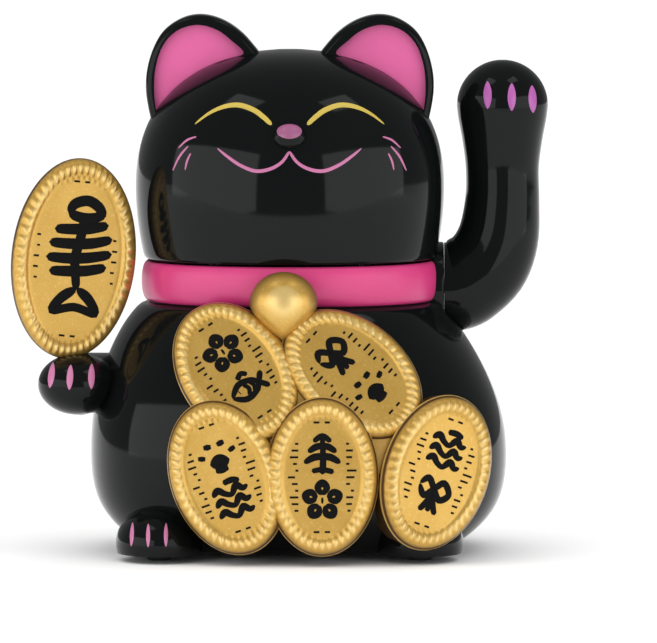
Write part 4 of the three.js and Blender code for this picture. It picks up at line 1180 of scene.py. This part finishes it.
COIN_PAW = Vector((torso_side_x(COIN_ARM_Z) - 3.2, -9.5, COIN_ARM_Z))
COIN_PAW_HALF = (6.3, 6.6, 4.9)
HELD_COIN_AT = (
    COIN_PAW.x - 0.2,
    COIN_PAW.y - HELD_COIN_THICKNESS / 2,
    COIN_PAW.z + COIN_PAW_HALF[2] - 0.9 + HELD_COIN_HALF[1],
)
FISH_BONE = [
    [(0.05, 0.86, 0.1), (0.0, 0.45, 0.1), (-0.08, 0, 0.1), (-0.02, -0.42, 0.09), (0.02, -0.62, 0.09)],
    [(-0.62, 0.58, 0.085), (-0.2, 0.6, 0.1), (0.2, 0.64, 0.1), (0.62, 0.74, 0.085)],
    [(-0.72, 0.3, 0.085), (-0.25, 0.3, 0.1), (0.25, 0.34, 0.1), (0.74, 0.46, 0.085)],
    [(-0.76, 0.0, 0.085), (-0.25, 0.0, 0.1), (0.25, 0.05, 0.1), (0.76, 0.16, 0.085)],
    [(-0.66, -0.28, 0.085), (-0.2, -0.26, 0.1), (0.22, -0.22, 0.1), (0.66, -0.12, 0.085)],
    [(0.02, -0.6, 0.09), (-0.3, -0.8, 0.1), (-0.5, -1.08, 0.08), (0, -0.98, 0.08), (0.5, -1.08, 0.08),
     (0.32, -0.8, 0.1), (0.02, -0.6, 0.09)],
    [(-0.34, 0.92, 0.09), (-0.2, 1.12, 0.1), (0.1, 1.2, 0.1), (0.36, 1.08, 0.1), (0.42, 0.92, 0.09),
     (0.05, 0.84, 0.1), (-0.34, 0.92, 0.09)],
]


def held_coin_pieces():
    """The coin in the raised paw, and its ink."""
    place = coin_matrix(6, 0, 12, HELD_COIN_AT)
    coin = moved(coin_form("held_coin_gilt", HELD_COIN_HALF, HELD_COIN_THICKNESS, 56, back=True), place)
    finished(coin, "body", ["held_coin"])
    bones = inked(FISH_BONE, (0.5, 0), 6.0, 1.12)
    marks = [moved(bone, Matrix.Diagonal((1.16, 1.3, 1, 1))) for bone in bones]
    marks += dashes(HELD_COIN_HALF, 5.5, 1.7)
    ink = joined("held_coin_marks", [moved(mark, place) for mark in marks])
    finished(painted(ink, "ink"), "body", angle=60)


def claws(places, ground, half, paint, name, body):
    """Painted lens-shaped claws, laid on a paw."""
    made = []
    for x, z, lean in places:
        line = [(x + lean * t, 0, z + half[1] * t, half[0] * math.sqrt(max(0.0, 1 - t * t)) ** 1.5 + 0.02)
                for t in [i / 10 - 1 for i in range(21)]]
        claw = moved(drawn("claw", line, 2), Matrix.Diagonal((1, PAINT_FLATNESS, 1, 1)))
        made.append(laid_on(claw, ground, 0.01))
    finished(painted(joined(name, made), paint), body, angle=60)


def coin_arm_pieces():
    """A short forearm and a paw, melted into one limb, with its painted claws."""
    elbow = Vector((torso_side_x(COIN_ARM_Z) + 1, ARM_PEG_Y, COIN_ARM_Z))
    toward = COIN_PAW - elbow
    line = [(*(elbow + toward * t), 4.6 + 0.5 * t) for t in (-0.35, 0, 0.2, 0.4, 0.6, 0.8, 1)]
    forearm = drawn("forearm", between(line, 5), 9)
    paw = stretched(unit_ball("coin_paw"), COIN_PAW, COIN_PAW_HALF)
    limb = joined("coin_arm_limb", [forearm, paw])
    modify(limb, "REMESH", mode="VOXEL", voxel_size=0.3, adaptivity=0)
    modify(limb, "SMOOTH", factor=0.5, iterations=14)
    ground = copied(limb, "paw_ground")
    x, _, z = COIN_PAW
    spots = [(x - 4.0, z + 1.7, 0.25), (x - 1.0, z + 1.5, 0.1), (x + 2.4, z + 1.6, 0.0)]
    claws(spots, ground, (0.5, 1.95), "claw", "coin_paw_claws", "body")
    thrown_away(ground)
    finished(painted(limb, "black"), "body", ["coin_arm"])


# ------------ waving arm

# The limb's line from the hub: share of its reach, height over the shaft, radius
ARM_LINE = [
    (0, 0.0, HUB_RADIUS), (1.6 / ARM_REACH, 0.1, HUB_RADIUS), (0.37, 0.9, HUB_RADIUS),
    (0.72, 3.7, 6.95), (0.93, 8, 6.5), (1, 14, 5.95), (1, 19, 5.85), (1, 23.5, 6.4), (1, 27, 7.05),
    (1, ARM_RISE, PAW_RADIUS),
]


def waving_arm_pieces():
    """The raised limb, flat where it faces the shoulder, with a spigot that nearly closes the gap."""
    points = [(HUB_FACE_X + share * ARM_REACH, SEAM_Y, SHAFT_Z + z, r) for share, z, r in ARM_LINE]
    line = between(points, 5)
    x, _, z, _ = line[-1]
    line += [
        (x, SEAM_Y, z + PAW_RADIUS * math.sin(a), max(0.25, PAW_RADIUS * math.cos(a)))
        for a in [math.radians(d) for d in range(6, 88, 6)]
    ]
    limb = drawn("waving_limb", line, 14)
    for vertex in limb.data.vertices:
        vertex.co.x = max(vertex.co.x, HUB_FACE_X)
    spigot = round_bar("hub_spigot", HUB_RADIUS - 0.1, SHOULDER_FACE_X + 0.05, HUB_FACE_X + 1)
    ground = copied(limb, "arm_ground")
    claw_z = SHAFT_Z + ARM_RISE + 1.6
    spots = [(x - 2.5, claw_z + 0.3, 0.0), (x + 1.35, claw_z, 0.0), (x + 4.7, claw_z - 0.4, -0.1)]
    claws(spots, ground, (0.64, 2.2), "arm_claw", "waving_paw_claws", "arm")
    for end in ("front", "rear"):
        halves = [shut(halved(part, f"half_{part.name}", end == "front")) for part in (limb, spigot)]
        whole = painted(joined(f"waving_{end}_moulding", halves), "black")
        finished(whole, "arm", [f"waving_arm_{end}"])
    thrown_away(ground, limb, spigot)


def foot_claws():
    """Claws on the foot that the coins leave in sight."""
    ground = foot(-1)
    x, _, _ = FOOT["at"]
    spots = [(-x - 4.2, 4.6, 0.1), (-x - 1.6, 4.6, 0.0), (-x + 1.2, 4.7, 0.0)]
    claws(spots, ground, (0.3, 1.8), "claw", "left_foot_claws", "body")
    thrown_away(ground)


# ------------ pieces kept from the frame

# Their paint; pads are rubber and screws are steel
KEPT = {
    "pivot_shaft": "steel", "shaft_clip": "steel", "swing_frame": "natural", "circuit_board": "board",
    "coil_bobbin": "natural", "coil_winding": "copper", "storage_capacitor": "resin", "driver_chip": "resin",
    "pendulum_lever": "natural", "drive_magnet": "magnet", "pendulum_weight": "steel", "solar_cell": "cell",
    "cell_window": "window", "cell_lead_red": "lead_red", "cell_lead_black": "lead_black",
    "base_cover": "black",
}


def kept_pieces():
    """Gives the frame's own pieces their finishes."""
    for name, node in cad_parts.items():
        paint = "rubber" if "pad" in name else "steel" if "screw" in name else KEPT.get(name)
        if paint:
            for slot in node.material_slots:
                slot.material = PAINT[paint]


# ------------ light, floor and camera


def area_light(name, at, to, size, power):
    """A rectangular lamp that faces a point and doesn't show itself."""
    bpy.ops.object.light_add(type="AREA", location=at)
    lamp = bpy.context.object
    lamp.name = name
    lamp.data.shape = "RECTANGLE"
    lamp.data.size, lamp.data.size_y = size
    lamp.data.energy = power
    lamp.visible_camera = False
    lamp.rotation_euler = (Vector(to) - Vector(at)).to_track_quat("-Z", "Y").to_euler()


def floor_plane():
    """A pale floor, whose front edge stays behind a camera that looks from below."""
    bpy.ops.mesh.primitive_plane_add(size=6)
    floor = began("floor")
    floor.data.transform(Matrix.Translation((0, 2.7, 0)))
    paper = Finish("floor_paper", Roughness=0.85)
    paper.feed(Base_Color=paper.mix(paper.noise(3.0), (0.91, 0.91, 0.91, 1), (0.94, 0.94, 0.94, 1)))
    floor.data.materials.append(paper.material)


def surroundings():
    """A white world, dimmer for light that bounces and dimmer still in reflections."""
    world = bpy.data.worlds.new("studio")
    bpy.context.scene.world = world
    world.use_nodes = True
    nodes, links = world.node_tree.nodes, world.node_tree.links
    background = nodes["Background"]
    background.inputs["Color"].default_value = (1, 1, 1, 1)
    background.inputs["Strength"].default_value = 1.0
    path = nodes.new("ShaderNodeLightPath")
    seen = nodes.new("ShaderNodeMapRange")
    seen.inputs["To Min"].default_value = 0.5
    seen.inputs["To Max"].default_value = 1.0
    dimmed = nodes.new("ShaderNodeMapRange")
    dimmed.inputs["To Max"].default_value = 0.25
    links.new(path.outputs["Is Camera Ray"], seen.inputs["Value"])
    links.new(seen.outputs[0], dimmed.inputs["To Min"])
    links.new(path.outputs["Is Glossy Ray"], dimmed.inputs["Value"])
    links.new(dimmed.outputs[0], background.inputs["Strength"])


def lamps():
    """Two broad soft lamps in front, two small ones above and an even light from overhead."""
    middle = (0.003, 0, 0.06)
    area_light("soft_left", (-0.56, -0.44, 0.13), middle, (1.0, 0.44), 2.3)
    area_light("soft_right", (0.58, -0.48, 0.13), middle, (0.95, 0.44), 2.1)
    area_light("soft_top_left", (-0.2, -0.14, 0.55), middle, (0.2, 0.12), 0.12)
    area_light("soft_top_right", (0.22, -0.14, 0.55), middle, (0.2, 0.12), 0.12)
    bpy.ops.object.light_add(type="SUN", location=(0, 0, 1))
    overhead = bpy.context.object
    overhead.name = "overhead"
    overhead.data.angle = math.radians(120)
    overhead.data.energy = 2.3
    overhead.visible_glossy = False


def camera_ahead():
    """A long lens that looks slightly down at the figure's front."""
    away, seen_width, tilt = 1.4, 0.10512, math.radians(4)
    target = NECK_AT + Vector((6.16, 0, 36.5)) * MM
    forward = Vector((0, math.cos(tilt), -math.sin(tilt)))
    bpy.ops.object.camera_add(location=target - forward * away)
    camera = bpy.context.object
    camera.name = "camera"
    camera.rotation_euler = forward.to_track_quat("-Z", "Y").to_euler()
    camera.data.sensor_width = 36
    camera.data.lens = camera.data.sensor_width * away / seen_width
    camera.data.clip_start = 0.01
    bpy.context.scene.camera = camera
    bpy.context.scene.view_settings.view_transform = "Standard"


# ------------ build

bpy.ops.object.select_all(action="DESELECT")
floor_plane()
surroundings()
lamps()
camera_ahead()
torso_pieces()
collar_piece()
head_pieces()
plaque_pieces()
coin_arm_pieces()
held_coin_pieces()
waving_arm_pieces()
foot_claws()
kept_pieces()
